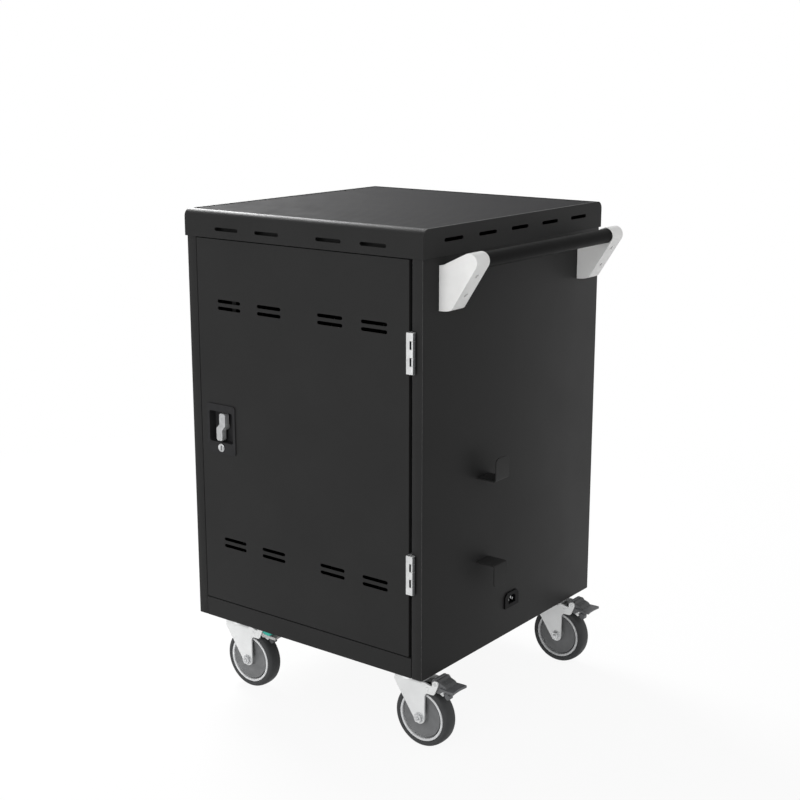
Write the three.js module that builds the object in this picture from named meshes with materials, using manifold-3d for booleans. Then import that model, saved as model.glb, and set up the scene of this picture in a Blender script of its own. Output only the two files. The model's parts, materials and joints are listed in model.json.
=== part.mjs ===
// Laptop charging cart: a sheet-steel cabinet on four braked casters, with a front door that locks by a
// twist handle and two rods, a rear service door, a push handle, two cord hooks and a mains inlet.
// Millimetres, +Z up. The front door faces -Y and the push handle is on +X.

import * as THREE from 'three';
import { mergeVertices } from 'three/addons/utils/BufferGeometryUtils.js';
import Module from 'manifold-3d';

// Cabinet
const CAB_W = 580; // over the side panels
const CAB_D = 617; // over the front and rear strips
const TOP_Z = 1004; // floor to the rim of the top tray
const SHEET = 1.5; // body sheet
const BEND = 3; // outside bend radius of the folds
const FIT = 0.4; // clearance between neighbouring pieces
const STRIP = 24; // width of the strips beside the doors
const LIP = 18; // lip returned behind each strip
const RAIL_H = 40; // height of the base pan's walls
const RAIL_FLANGE = 40; // flange on top of the base pan's front and rear walls
const HEADER_D = 43; // depth of the header rails under the tray

// Top tray and mat
const TRAY_H = 53; // height of the tray's skirt
const TRAY_WALL = 2;
const TRAY_OVER = TRAY_WALL + FIT; // the skirt laps over the side panels
const TRAY_ROLL = 15; // radius of the rolled front and rear edges
const TRAY_TOP_T = 2.5; // tray floor under the mat
const MAT_RECESS = 3.6; // tray rim over the tray floor
const MAT_T = 2.6;
const MAT_RIM = 4; // width of the rim at the tray's sides
const MAT_CORNER = 3;

// Vent slots
const SLOT_L = 61;
const SLOT_H = 7;
const SLOT_COLUMNS = [-180.5, -76, 76, 180.5]; // from the middle of the door and tray
const SLOT_ROW_PITCH = 14;
const VENT_INSET = 128.5; // middle of a double row from the end of a door
const TRAY_FRONT_SLOT_Z = 35; // below the rim
const TRAY_SIDE_SLOT_Z = 24.5;
const TRAY_SIDE_SLOT_L = 59;
const TRAY_SIDE_SLOTS = 5;
const TRAY_SIDE_PITCH = 109;

// Doors
const DOOR_T = 22; // depth of the folded pan
const DOOR_LIP = 12; // lip returned at the back of the pan
const DOOR_GAP = 2.2; // above, below and at the free edge
const HINGE_GAP = 6; // at the hinged edge

// Hinges
const HINGE_H = 76;
const HINGE_INSET = 166; // middle of a hinge from the end of the door
const HINGE_R = 4.4; // knuckle radius
const HINGE_PIN_R = 2;
const HINGE_LEAF_T = 1.5;
const HINGE_SIDES = 8; // facets of a knuckle
const HINGE_OVER_STRIP = 6.4; // pin axis past the edge of the strip
const HINGE_WINDOW = 4.6; // width of the windows in the door leaf, beside the frame leaf's knuckles
const KNUCKLES = 5;

// Twist-handle lock
const LATCH_W = 76;
const LATCH_H = 101;
const LATCH_FLANGE_T = 2;
const LATCH_CORNER = 5;
const LATCH_INSET = 54.5; // middle of the handle from the door's free edge
const LATCH_DROP = 7; // plate middle below the middle of the door
const CUP_SIZE = 63; // square recess that the handle turns in
const CUP_RISE = 4; // recess middle above the plate's middle
const CUP_DEPTH = 15;
const CUP_WALL = 2;
const CUP_CORNER = 4;
const BAR_HALF_L = 28.5; // half length of the twist bar
const BAR_W = 15.5;
const BAR_OFFSET = 4.2; // the two halves of the bar are offset sideways into an S
const BAR_T = 12;
const BAR_JOG = 6; // height of the slanting step between the two halves
const BAR_CHAMFER = 3;
const BAR_PROUD = 3.5; // in front of the door
const SPINDLE_R = 5;
const PLUG_R = 8.5; // key plug
const PLUG_DROP = 38.5; // below the plate's middle
const PLUG_L = 18;
const PLUG_PROUD = 1.5; // in front of the plate
const KEYWAY_W = 2;
const KEYWAY_H = 9;
const KEYWAY_D = 8;
const CRANK_R = 24; // crank pins from the spindle
const CRANK_RIM = 7; // edge of the crank disc beyond the middle of a pin
const CRANK_T = 4.5;
const CRANK_PIN_R = 3;
const ROD_W = 10;
const ROD_T = 3;
const ROD_PLAY = 1.2; // crank pin in its slot
const ROD_EYE_RIM = 4; // metal round the slot in a rod's inner end
const GUIDE_WALL = 2; // loops that the rods slide in

// Rear lock
const REAR_LOCK_INSET = 6; // plug's edge from the door's lip
const ROSE_T = 3;
const ROSE_RIM = 2; // rose beyond the plug
const CAM_W = 14;
const CAM_T = 2.5;
const CAM_CORNER = 5;
const CAM_GAP = 2; // cam behind the door

// Push handle
const BRACKET_T = 40;
const BRACKET_INSET = 48; // outer face of a bracket from the front and rear of the cabinet
const BRACKET_DROP = 150; // foot below the rim of the tray
const BRACKET_FOOT_H = 82;
const BRACKET_STEP = 12; // level top before the bracket rises to its nose
const BRACKET_TOE = 28; // reach of the foot's lower end
const BRACKET_TOE_R = 5;
const BRACKET_LIFT = 3; // rise over the level top
const NOSE_REACH = 64.5; // tube axis from the side panel
const NOSE_DROP = 58; // tube axis below the rim of the tray
const NOSE_R = 16.5;
const TUBE_R = 14.5;
const TUBE_WALL = 1.8;
const TUBE_SOCKET = 24; // how far the tube goes into a bracket
const BRACKET_SCREW_R = 4.5;
const BRACKET_SCREWS = [0.22, 0.68]; // shares of the slanting face, from the nose to the foot

// Cord hooks
const HOOK_Y = 199; // middle of the hooks from the front
const HOOK_W = 45;
const HOOK_REACH = 43;
const HOOK_LIP = 46;
const HOOK_T = 2.5;
const HOOK_CORNER = 10;
const HOOK_UPPER_H = 353.6; // underside of the upper hook's arm over the base
const HOOK_LOWER_H = 186.6; // top of the lower hook's arm over the base

// Mains inlet
const INLET_Y = 303.7; // from the front
const INLET_OVER_DECK = 30.1;
const INLET_W = 50;
const INLET_H = 32;
const INLET_FLANGE_T = 3;
const INLET_BODY_W = 31;
const INLET_BODY_H = 24;
const INLET_BODY_D = 24;
const INLET_BEVEL = 8; // upper corners of the flange
const INLET_BODY_BEVEL = 5;
const SOCKET_W = 24.5;
const SOCKET_H = 17;
const SOCKET_D = 17;
const SOCKET_BEVEL = 4.5;
const INLET_PINS = [[-7, -1.5], [7, -1.5], [0, 2.5]]; // from the middle of the socket
const INLET_PIN_W = 2;
const INLET_PIN_H = 5;
const COVER_D = 58; // cover box behind the inlet
const COVER_W = 95;
const COVER_H = 75;

// Inside
const DECK_FRONT = 32; // front edge of the lower deck from the front of the cabinet
const SHELF_FRONT = 45;
const SHELF_H = 375.7; // middle shelf over the lower deck
const SHELF_LIP = 25;
const REAR_BAY = 165; // depth of the adapter bay behind the partition
const LEAD_SLOT_L = 73.2; // slots for the charging leads in the partition
const LEAD_SLOT_H = 28;
const BAYS = 8;
const RACK_GAP = 17.2; // from the racks to the inlet's cover box
const FIN_T = 2.5;
const FIN_H = 250;
const FIN_D = 340;
const FIN_NOSE = 60; // radius of a divider's upper front corner
const ADAPTER_LOWER_H = 50.7; // adapter shelves over the lower deck
const ADAPTER_UPPER_H = 400.7;
const ADAPTER_LIP = 30;
const OUTLET_STRIP_H = 180; // middle of an outlet strip over its adapter shelf
const OUTLETS = 8;
const OUTLET_PITCH = 55;
const OUTLET_W = 29;
const OUTLET_H = 22;
const OUTLET_DEPTH = 4;
const STRIP_D = 38;
const STRIP_H = 44;

// Casters
const WHEEL_R = 62.5;
const TYRE_W = 32;
const TYRE_T = 10; // rubber over the hub's rim
const TYRE_SHOULDER = 4; // rounding between tread and side
const HUB_BOSS_R = 11;
const HUB_BOSS_W = 34;
const HUB_WEB_R = 15; // where the boss meets the disc
const HUB_WEB_W = 18;
const HUB_RIM = 8; // width of the slope from the disc out to the rim
const HUB_RIM_STEP = 2; // rim inside the tyre's side
const CROWN_OVER_TYRE = 9;
const HEAD_H = 19; // swivel head over the fork's crown
const CASTER_TRAIL = 35; // axle behind the swivel axis
const WHEEL_SIDES = 20; // facets of hub and tyre
const CASTER_INSET_X = 66; // swivel axis from the side panel
const CASTER_INSET_Y = 57; // swivel axis from the front and rear
const PLATE_L = 95;
const PLATE_W = 67;
const PLATE_T = 3.5;
const PLATE_CORNER = 6;
const CUP_R = 29; // bearing cup under the plate
const RACE_R = 24; // lower race on the crown
const FORK_GAP = 36; // between the fork's legs
const FORK_T = 4;
const FORK_LEAD = 25; // crown ahead of the swivel axis
const FORK_CHEEK = 11; // upright front edge before a leg tapers to the axle
const AXLE_BOSS_R = 12.5; // end of a leg about the axle
const EAR_R = 7; // ear about the pedal's pin
const EAR_DROP = 23; // heel of the ear below the pin
const EAR_FILLET = 8;
const EAR_NOTCH = 3; // gap between ear and crown
const KINGPIN_R = 5;
const AXLE_R = 4;
const AXLE_HEAD_R = 8;
const AXLE_HEAD_T = 5;
const PEDAL_X = 72; // pedal pivot from the swivel axis
const PEDAL_OVER_CROWN = 2; // pivot over the top of the crown
const PEDAL_L = 48; // pivot to the tip
const PEDAL_W = 48;
const PEDAL_T = 6;
const PEDAL_HUB_R = 7;
const PEDAL_PIN_R = 3;
const PEDAL_NECK = 20; // pivot to the root of the wing
const PEDAL_CORNER = 10;
const SHOE_DROP = 23; // brake shoe below the pivot
const SHOE_T = 7;

// Places worked out from the sizes above
const CROWN_Z = 2 * WHEEL_R + CROWN_OVER_TYRE + FORK_T; // top of the fork's crown
const CASTER_H = CROWN_Z + HEAD_H;
const HUB_R = WHEEL_R - TYRE_T - FIT;
const PEDAL_Z = CROWN_Z + PEDAL_OVER_CROWN;
const SIDE = CAB_W / 2;
const FRONT = -CAB_D / 2;
const BACK = CAB_D / 2;
const BASE_Z = CASTER_H + FIT;
const RAIL_TOP = BASE_Z + RAIL_H;
const TRAY_Z = TOP_Z - TRAY_H;
const TRAY_UNDER = TOP_Z - MAT_RECESS - TRAY_TOP_T; // underside of the tray's floor
const PANEL_TOP = TOP_Z - TRAY_SIDE_SLOT_Z - SLOT_H; // the side panels end below the tray's vent slots
const DOOR_Z0 = RAIL_TOP + DOOR_GAP;
const DOOR_Z1 = TRAY_Z - DOOR_GAP;
const DOOR_MID_Z = (DOOR_Z0 + DOOR_Z1) / 2;
const DOOR_X0 = -SIDE + STRIP + DOOR_GAP;
const DOOR_X1 = SIDE - STRIP - HINGE_GAP;
const HINGE_X = SIDE - STRIP + HINGE_OVER_STRIP;
const HINGE_Y = FRONT - HINGE_R - FIT;
const LATCH_X = DOOR_X0 + LATCH_INSET;
const LATCH_Z = DOOR_MID_Z - LATCH_DROP;
const CUP_Z = LATCH_Z + CUP_RISE;
const CRANK_Y = FRONT + CUP_DEPTH + CUP_WALL + FIT; // front face of the crank
const ROD_Y = FRONT + DOOR_T + 2 * FIT; // front face of the rods
const CRANK_SWING = CRANK_R * Math.SQRT1_2; // crank pin beside and above the spindle at 45 degrees
const ROD_X = (CRANK_R + CRANK_SWING) / 2; // rod middle from the spindle
const REAR_LOCK_X = DOOR_X0 + DOOR_LIP + PLUG_R + REAR_LOCK_INSET;
const DECK_Z = RAIL_TOP + FIT;
const DECK_TOP = DECK_Z + SHEET;
const SHELF_Z = DECK_TOP + SHELF_H;
const ADAPTER_SHELVES_Z = { lower: DECK_TOP + ADAPTER_LOWER_H, upper: DECK_TOP + ADAPTER_UPPER_H };
const INLET_Z = DECK_TOP + INLET_OVER_DECK;
const BRACKET_FOOT_Z = TOP_Z - BRACKET_DROP;
const NOSE_Z = TOP_Z - NOSE_DROP;
const PARTITION_Y = BACK - REAR_BAY;
const INNER_X = SIDE - SHEET - FIT; // half width between the side panels
const RACK_X = -SIDE + STRIP + FIT; // left end of the racks
const BAY_PITCH = (INNER_X - COVER_D - RACK_GAP - FIN_T - RACK_X) / BAYS;

// Finishes read from the photograph
const POWDER_COAT = { color: 0x343436, roughness: 0.55, metalness: 0.1 };
const RUBBER_MAT = { color: 0x4c4c4d, roughness: 0.85, metalness: 0 };
const ZINC = { color: 0xd2d3d4, roughness: 0.32, metalness: 0.9 };
const BLACK_PLASTIC = { color: 0x161617, roughness: 0.45, metalness: 0 };
const SATIN_CAST = { color: 0xb4b6b8, roughness: 0.35, metalness: 0.9 };
const CHROME = { color: 0xd8dadc, roughness: 0.15, metalness: 1 };
const GREY_PLASTIC = { color: 0xd9d9d8, roughness: 0.5, metalness: 0 };
const TUBE_COAT = { color: 0x262627, roughness: 0.4, metalness: 0.1 };
const HUB_PLASTIC = { color: 0x7a7b7d, roughness: 0.5, metalness: 0 };
const TYRE_RUBBER = { color: 0x3b3c3e, roughness: 0.7, metalness: 0 };
const PEDAL_PLASTIC = { color: 0x46484b, roughness: 0.5, metalness: 0 };

const wasm = await Module();
wasm.setup();

// A closed three.js geometry as a solid, with its faces turned outwards.
function solid(geometry) {
  geometry.deleteAttribute('normal');
  geometry.deleteAttribute('uv');
  const merged = mergeVertices(geometry, 1e-4);
  const points = merged.attributes.position;
  const corners = merged.index.array;
  const at = [new THREE.Vector3(), new THREE.Vector3(), new THREE.Vector3()];
  const triangles = [];
  let volume = 0;
  for (let i = 0; i < corners.length; i += 3) {
    const [a, b, c] = [corners[i], corners[i + 1], corners[i + 2]];
    if (a === b || b === c || c === a) {
      continue;
    }
    at[0].fromBufferAttribute(points, a);
    at[1].fromBufferAttribute(points, b);
    at[2].fromBufferAttribute(points, c);
    volume += at[0].dot(at[1].cross(at[2]));
    triangles.push(a, b, c);
  }
  const triVerts = new Uint32Array(volume < 0 ? triangles.reverse() : triangles);
  const vertProperties = new Float32Array(points.array);
  return new wasm.Manifold(new wasm.Mesh({ numProp: 3, vertProperties, triVerts }));
}

function join(...bodies) {
  return bodies.reduce((whole, body) => whole.add(body));
}

function cut(body, ...tools) {
  return tools.reduce((left, tool) => left.subtract(tool), body);
}

function block(x0, x1, y0, y1, z0, z1) {
  const geometry = new THREE.BoxGeometry(x1 - x0, y1 - y0, z1 - z0);
  return solid(geometry.translate((x0 + x1) / 2, (y0 + y1) / 2, (z0 + z1) / 2));
}

// A round bar between two points.
function bar(from, to, radius, sides = 12) {
  const start = new THREE.Vector3(...from);
  const run = new THREE.Vector3(...to).sub(start);
  const length = run.length();
  const turn = new THREE.Quaternion().setFromUnitVectors(new THREE.Vector3(0, 1, 0), run.normalize());
  const geometry = new THREE.CylinderGeometry(radius, radius, length, sides).applyQuaternion(turn);
  return solid(geometry.translate(...start.addScaledVector(run, length / 2).toArray()));
}

// A shape swept along an axis: along x it is drawn in y and z, along y in x and z, along z in x and y.
const SWEEPS = {
  x: new THREE.Matrix4().set(0, 0, 1, 0, 1, 0, 0, 0, 0, 1, 0, 0, 0, 0, 0, 1),
  y: new THREE.Matrix4().set(1, 0, 0, 0, 0, 0, -1, 0, 0, 1, 0, 0, 0, 0, 0, 1),
  z: new THREE.Matrix4(),
};

function sweep(shape, axis, from, to, arcs = 2) {
  const depth = to - from;
  const geometry = new THREE.ExtrudeGeometry(shape, { depth, bevelEnabled: false, curveSegments: arcs });
  geometry.applyMatrix4(SWEEPS[axis]);
  const shift = new THREE.Vector3();
  shift[axis] = axis === 'y' ? to : from;
  return solid(geometry.translate(shift.x, shift.y, shift.z));
}

// A closed profile of radius and height turned about the Y axis, or about Z.
function turned(profile, sides, axis = 'y') {
  const points = profile.map(([r, h]) => new THREE.Vector2(r, h));
  const geometry = new THREE.LatheGeometry(points, sides);
  return solid(axis === 'z' ? geometry.rotateX(Math.PI / 2) : geometry);
}

function outline(points) {
  return new THREE.Shape(points.map(([u, v]) => new THREE.Vector2(u, v)));
}

function roundRect(u0, u1, v0, v1, r) {
  const shape = new THREE.Shape();
  shape.absarc(u1 - r, v0 + r, r, -Math.PI / 2, 0);
  shape.absarc(u1 - r, v1 - r, r, 0, Math.PI / 2);
  shape.absarc(u0 + r, v1 - r, r, Math.PI / 2, Math.PI);
  shape.absarc(u0 + r, v0 + r, r, Math.PI, 1.5 * Math.PI);
  shape.closePath();
  return shape;
}

function slot(u, v, length, height) {
  const half = (length - height) / 2;
  const shape = new THREE.Shape();
  shape.absarc(u + half, v, height / 2, -Math.PI / 2, Math.PI / 2);
  shape.absarc(u - half, v, height / 2, Math.PI / 2, 1.5 * Math.PI);
  shape.closePath();
  return shape;
}

// Cross-section of a sheet folded along a path of square corners, with the sheet on the path's left.
function folded(path, thickness = SHEET, bend = BEND) {
  const points = path.map(([u, v]) => new THREE.Vector2(u, v));
  const near = [];
  const far = [];
  points.forEach((corner, i) => {
    const before = points[i - 1] ?? corner.clone().multiplyScalar(2).sub(points[i + 1]);
    const after = points[i + 1] ?? corner.clone().multiplyScalar(2).sub(points[i - 1]);
    const along = corner.clone().sub(before).normalize();
    const next = after.clone().sub(corner).normalize();
    const left = new THREE.Vector2(-along.y, along.x);
    const leftNext = new THREE.Vector2(-next.y, next.x);
    const turn = along.cross(next);
    if (Math.abs(turn) < 1e-6) {
      near.push(corner);
      far.push(corner.clone().addScaledVector(left, thickness));
      return;
    }
    const side = Math.sign(turn);
    const radius = side > 0 ? bend : bend - thickness;
    const centre = corner.clone().addScaledVector(left.clone().add(leftNext), side * radius);
    for (const t of [0, 0.5, 1]) {
      const ray = left.clone().multiplyScalar(-side);
      ray.rotateAround(new THREE.Vector2(), (side * t * Math.PI) / 2);
      near.push(centre.clone().addScaledVector(ray, radius));
      far.push(centre.clone().addScaledVector(ray, radius - side * thickness));
    }
  });
  return new THREE.Shape([...near, ...far.reverse()]);
}

function piece(name, body, finish) {
  const made = body.getMesh();
  const geometry = new THREE.BufferGeometry();
  geometry.setAttribute('position', new THREE.BufferAttribute(new Float32Array(made.vertProperties), 3));
  geometry.setIndex(new THREE.BufferAttribute(new Uint32Array(made.triVerts), 1));
  geometry.computeVertexNormals();
  const mesh = new THREE.Mesh(geometry, new THREE.MeshStandardMaterial(finish));
  mesh.name = name;
  return mesh;
}

// Side panel: one sheet with a strip and a returned lip at the front and at the rear.
function sidePanel(side) {
  const fold = [
    [SIDE - STRIP, FRONT + LIP],
    [SIDE - STRIP, FRONT],
    [SIDE, FRONT],
    [SIDE, BACK],
    [SIDE - STRIP, BACK],
    [SIDE - STRIP, BACK - LIP],
  ];
  const path = side > 0 ? fold : fold.map(([x, y]) => [-x, y]).reverse();
  return sweep(folded(path), 'z', BASE_Z, PANEL_TOP);
}

function rightPanel() {
  const y = FRONT + INLET_Y;
  const hole = roundRect(
    y - INLET_BODY_W / 2 - FIT, y + INLET_BODY_W / 2 + FIT,
    INLET_Z - INLET_BODY_H / 2 - FIT, INLET_Z + INLET_BODY_H / 2 + FIT, 1,
  );
  return cut(sidePanel(1), sweep(hole, 'x', SIDE - 2 * SHEET, SIDE + SHEET));
}

// Window in the base pan and in the header that a locking rod enters.
function rodHole(side, z0, z1) {
  const x = LATCH_X + side * ROD_X;
  const half = ROD_W / 2 + ROD_PLAY;
  return block(x - half, x + half, ROD_Y - ROD_PLAY, ROD_Y + ROD_T + ROD_PLAY, z0, z1);
}

// Base pan: open upwards, stepped in at its corners round the lips, flanged at the front and rear.
function basePan() {
  const plan = (inset) => {
    const wide = INNER_X - inset;
    const narrow = SIDE - STRIP - FIT - inset;
    const step = BACK - LIP - FIT - inset;
    const end = BACK - inset;
    return outline([
      [-narrow, -end], [narrow, -end], [narrow, -step], [wide, -step],
      [wide, step], [narrow, step], [narrow, end], [-narrow, end],
      [-narrow, step], [-wide, step], [-wide, -step], [-narrow, -step],
    ]);
  };
  const walls = sweep(plan(0), 'z', BASE_Z, RAIL_TOP);
  const inside = sweep(plan(SHEET), 'z', BASE_Z + SHEET, RAIL_TOP + SHEET);
  const half = SIDE - STRIP - FIT;
  const flange = (y0, y1) => block(-half, half, y0, y1, RAIL_TOP - SHEET, RAIL_TOP);
  const pan = join(cut(walls, inside), flange(FRONT, FRONT + RAIL_FLANGE), flange(BACK - RAIL_FLANGE, BACK));
  return cut(pan, rodHole(-1, RAIL_TOP - 2 * SHEET, RAIL_TOP + SHEET));
}

// Header rail: a channel that ties the side panels together under the tray.
function header() {
  const y0 = FRONT + LIP + FIT;
  const y1 = y0 + HEADER_D;
  const [z0, z1] = [TRAY_Z + DOOR_GAP, TRAY_UNDER - FIT];
  const path = [[y1, z1], [y0, z1], [y0, z0], [y1, z0]];
  return sweep(folded(path), 'x', -INNER_X, INNER_X);
}

// Top tray: a cap with rolled front and rear edges, a recess for the mat and vent slots all round.
function topTray() {
  const x = SIDE + TRAY_OVER;
  const y = BACK + TRAY_OVER;
  const profile = (inset, top) => {
    const r = TRAY_ROLL - inset;
    const shape = new THREE.Shape();
    shape.moveTo(-y + inset, TRAY_Z - inset);
    shape.lineTo(y - inset, TRAY_Z - inset);
    shape.absarc(y - inset - r, top - r, r, 0, Math.PI / 2);
    shape.absarc(-y + inset + r, top - r, r, Math.PI / 2, Math.PI);
    shape.closePath();
    return shape;
  };
  const cap = sweep(profile(0, TOP_Z), 'x', -x, x, 3);
  const inside = sweep(profile(TRAY_WALL, TRAY_UNDER), 'x', -x + TRAY_WALL, x - TRAY_WALL, 3);
  const mat = sweep(matOutline(0), 'z', TOP_Z - MAT_RECESS, TOP_Z + MAT_RECESS);
  const slots = SLOT_COLUMNS.map((u) => (
    sweep(slot(u, TOP_Z - TRAY_FRONT_SLOT_Z, SLOT_L, SLOT_H), 'y', -y - TRAY_WALL, y + TRAY_WALL)
  ));
  for (let i = 0; i < TRAY_SIDE_SLOTS; i += 1) {
    const v = (i - (TRAY_SIDE_SLOTS - 1) / 2) * TRAY_SIDE_PITCH;
    const shape = slot(v, TOP_Z - TRAY_SIDE_SLOT_Z, TRAY_SIDE_SLOT_L, SLOT_H);
    slots.push(sweep(shape, 'x', -x - TRAY_WALL, x + TRAY_WALL));
  }
  return cut(cap, inside, mat, ...slots);
}

function matOutline(gap) {
  const x = SIDE + TRAY_OVER - MAT_RIM - gap;
  const y = BACK + TRAY_OVER - TRAY_ROLL - gap;
  return roundRect(-x, x, -y, y, MAT_CORNER);
}

function topMat() {
  const z = TOP_Z - MAT_RECESS + FIT / 4;
  return sweep(matOutline(FIT), 'z', z, z + MAT_T);
}

// Door: a folded pan with lips returned at its back and rows of vent slots near both ends.
function doorPan(rows) {
  const skin = block(DOOR_X0, DOOR_X1, FRONT, FRONT + DOOR_T, DOOR_Z0, DOOR_Z1);
  const hollow = (inset, y0, y1) => (
    block(DOOR_X0 + inset, DOOR_X1 - inset, y0, y1, DOOR_Z0 + inset, DOOR_Z1 - inset)
  );
  const pan = cut(
    skin,
    hollow(SHEET, FRONT + SHEET, FRONT + DOOR_T - SHEET),
    hollow(DOOR_LIP, FRONT + SHEET, FRONT + DOOR_T + SHEET),
  );
  const slots = [];
  for (const middle of [DOOR_Z0 + VENT_INSET, DOOR_Z1 - VENT_INSET]) {
    for (const row of rows) {
      for (const column of SLOT_COLUMNS) {
        const shape = slot(column, middle + row * SLOT_ROW_PITCH, SLOT_L, SLOT_H);
        slots.push(sweep(shape, 'y', FRONT - SHEET, FRONT + 2 * SHEET));
      }
    }
  }
  return cut(pan, ...slots);
}

// Loop on the door's lip that a locking rod slides in.
function rodGuide(side, z0, z1) {
  const x = LATCH_X + side * ROD_X;
  const inner = ROD_W / 2 + FIT;
  const y1 = ROD_Y + ROD_T + FIT;
  const outer = inner + GUIDE_WALL;
  const loop = block(x - outer, x + outer, FRONT + DOOR_T - SHEET / 2, y1 + GUIDE_WALL, z0, z1);
  return cut(loop, block(x - inner, x + inner, ROD_Y - FIT, y1, z0 - 1, z1 + 1));
}

function frontDoor() {
  const cup = CUP_SIZE / 2 + CUP_WALL + FIT;
  const guide = DOOR_LIP - GUIDE_WALL;
  return cut(
    join(
      doorPan([-0.5, 0.5]),
      rodGuide(1, DOOR_Z1 - guide, DOOR_Z1 - GUIDE_WALL),
      rodGuide(-1, DOOR_Z0 + GUIDE_WALL, DOOR_Z0 + guide),
    ),
    block(LATCH_X - cup, LATCH_X + cup, FRONT - SHEET, FRONT + 2 * SHEET, CUP_Z - cup, CUP_Z + cup),
    bar(
      [LATCH_X, FRONT - SHEET, LATCH_Z - PLUG_DROP],
      [LATCH_X, FRONT + 2 * SHEET, LATCH_Z - PLUG_DROP], PLUG_R + FIT, 16,
    ),
  );
}

// Hinge: knuckles on one axis in front of the strip, shared in turn between the door leaf and the frame leaf.
// The door leaf laps over the gap, with windows that clear the frame leaf's knuckles.
function knuckle(index, middle) {
  const pitch = HINGE_H / KNUCKLES;
  const z0 = middle - HINGE_H / 2 + index * pitch;
  return [z0 + FIT / 2, z0 + pitch - FIT / 2];
}

function pivot(z0, z1, radius, sides) {
  return bar([HINGE_X, HINGE_Y, z0], [HINGE_X, HINGE_Y, z1], radius, sides);
}

function frameLeaf(middle) {
  const x1 = SIDE - STRIP - FIT;
  const x0 = x1 - HINGE_LEAF_T;
  const rear = HINGE_Y + HINGE_R;
  const [z0] = knuckle(0, middle);
  const [, z1] = knuckle(KNUCKLES - 1, middle);
  const parts = [block(x0, x1, rear - HINGE_LEAF_T, FRONT + LIP - 2 * FIT, z0, z1)];
  for (let i = 1; i < KNUCKLES; i += 2) {
    const [k0, k1] = knuckle(i, middle);
    const open = block(
      HINGE_X - 2 * HINGE_R, HINGE_X - FIT, HINGE_Y - 2 * HINGE_R, rear - HINGE_LEAF_T, k0 - 1, k1 + 1,
    );
    parts.push(cut(pivot(k0, k1, HINGE_R, HINGE_SIDES), open));
    parts.push(block(x0, HINGE_X, rear - HINGE_LEAF_T, rear, k0, k1));
  }
  return join(...parts, pivot(z0, z1, HINGE_PIN_R, 6));
}

function doorLeaf(middle) {
  const x0 = DOOR_X1 + FIT;
  const face = HINGE_Y - HINGE_R;
  const [z0] = knuckle(0, middle);
  const [, z1] = knuckle(KNUCKLES - 1, middle);
  const parts = [
    block(x0, x0 + HINGE_LEAF_T, face, FRONT + DOOR_T - 2 * FIT, z0, z1),
    block(x0, HINGE_X - HINGE_WINDOW, face, face + HINGE_LEAF_T, z0, z1),
  ];
  const bores = [];
  for (let i = 0; i < KNUCKLES; i += 2) {
    const [k0, k1] = knuckle(i, middle);
    parts.push(pivot(k0, k1, HINGE_R, HINGE_SIDES));
    parts.push(block(x0, HINGE_X, face, face + HINGE_LEAF_T, k0, k1));
    bores.push(pivot(k0 - 1, k1 + 1, HINGE_PIN_R + 2 * FIT, 6));
  }
  return cut(join(...parts), ...bores);
}

// Cup plate: a moulded flange on the door with the square recess that the handle turns in.
function cupPlate() {
  const half = CUP_SIZE / 2;
  const back = FRONT + CUP_DEPTH;
  const face = FRONT - FIT;
  const square = (grow) => roundRect(
    LATCH_X - half - grow, LATCH_X + half + grow, CUP_Z - half - grow, CUP_Z + half + grow, CUP_CORNER + grow,
  );
  const flange = roundRect(
    LATCH_X - LATCH_W / 2, LATCH_X + LATCH_W / 2, LATCH_Z - LATCH_H / 2, LATCH_Z + LATCH_H / 2, LATCH_CORNER,
  );
  const plug = [LATCH_X, LATCH_Z - PLUG_DROP];
  return cut(
    join(
      sweep(flange, 'y', face - LATCH_FLANGE_T, face),
      sweep(square(CUP_WALL), 'y', face - LATCH_FLANGE_T / 2, back + CUP_WALL),
    ),
    sweep(square(0), 'y', FRONT - 2 * LATCH_FLANGE_T, back),
    bar([LATCH_X, back - 1, CUP_Z], [LATCH_X, back + 2 * CUP_WALL, CUP_Z], SPINDLE_R + FIT),
    bar([plug[0], FRONT - 2 * LATCH_FLANGE_T, plug[1]], [plug[0], FRONT + 1, plug[1]], PLUG_R + FIT, 16),
  );
}

// Twist handle: an angular S-shaped bar, the same when turned half round, on a spindle through the cup.
function twistHandle() {
  const right = BAR_OFFSET + BAR_W / 2;
  const left = BAR_OFFSET - BAR_W / 2;
  const end = BAR_HALF_L;
  const half = [
    [-left, -BAR_JOG], [right, BAR_JOG / 2], [right, end - BAR_CHAMFER], [right - BAR_CHAMFER, end],
    [left + BAR_CHAMFER, end], [left, end - BAR_CHAMFER],
  ];
  const corners = [...half, ...half.map(([u, v]) => [-u, -v])];
  const shape = outline(corners.map(([u, v]) => [LATCH_X + u, CUP_Z + v]));
  const face = FRONT - BAR_PROUD;
  const back = FRONT + CUP_DEPTH;
  return join(
    sweep(shape, 'y', face, face + BAR_T),
    bar([LATCH_X, face + BAR_T / 2, CUP_Z], [LATCH_X, back - FIT, CUP_Z], SPINDLE_R + BAR_JOG / 2),
    bar([LATCH_X, face + BAR_T / 2, CUP_Z], [LATCH_X, CRANK_Y + CRANK_T + 2, CUP_Z], SPINDLE_R),
  );
}

// Key plug with a keyway across its face.
function keyway(x, face, z) {
  const [w, h] = [KEYWAY_W / 2, KEYWAY_H / 2];
  return block(x - w, x + w, face - 1, face + KEYWAY_D, z - h, z + h);
}

function keyPlug() {
  const z = LATCH_Z - PLUG_DROP;
  const y0 = FRONT - FIT - LATCH_FLANGE_T - PLUG_PROUD;
  return cut(
    bar([LATCH_X, y0, z], [LATCH_X, y0 + PLUG_L, z], PLUG_R, 16),
    keyway(LATCH_X, y0, z),
  );
}

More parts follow.
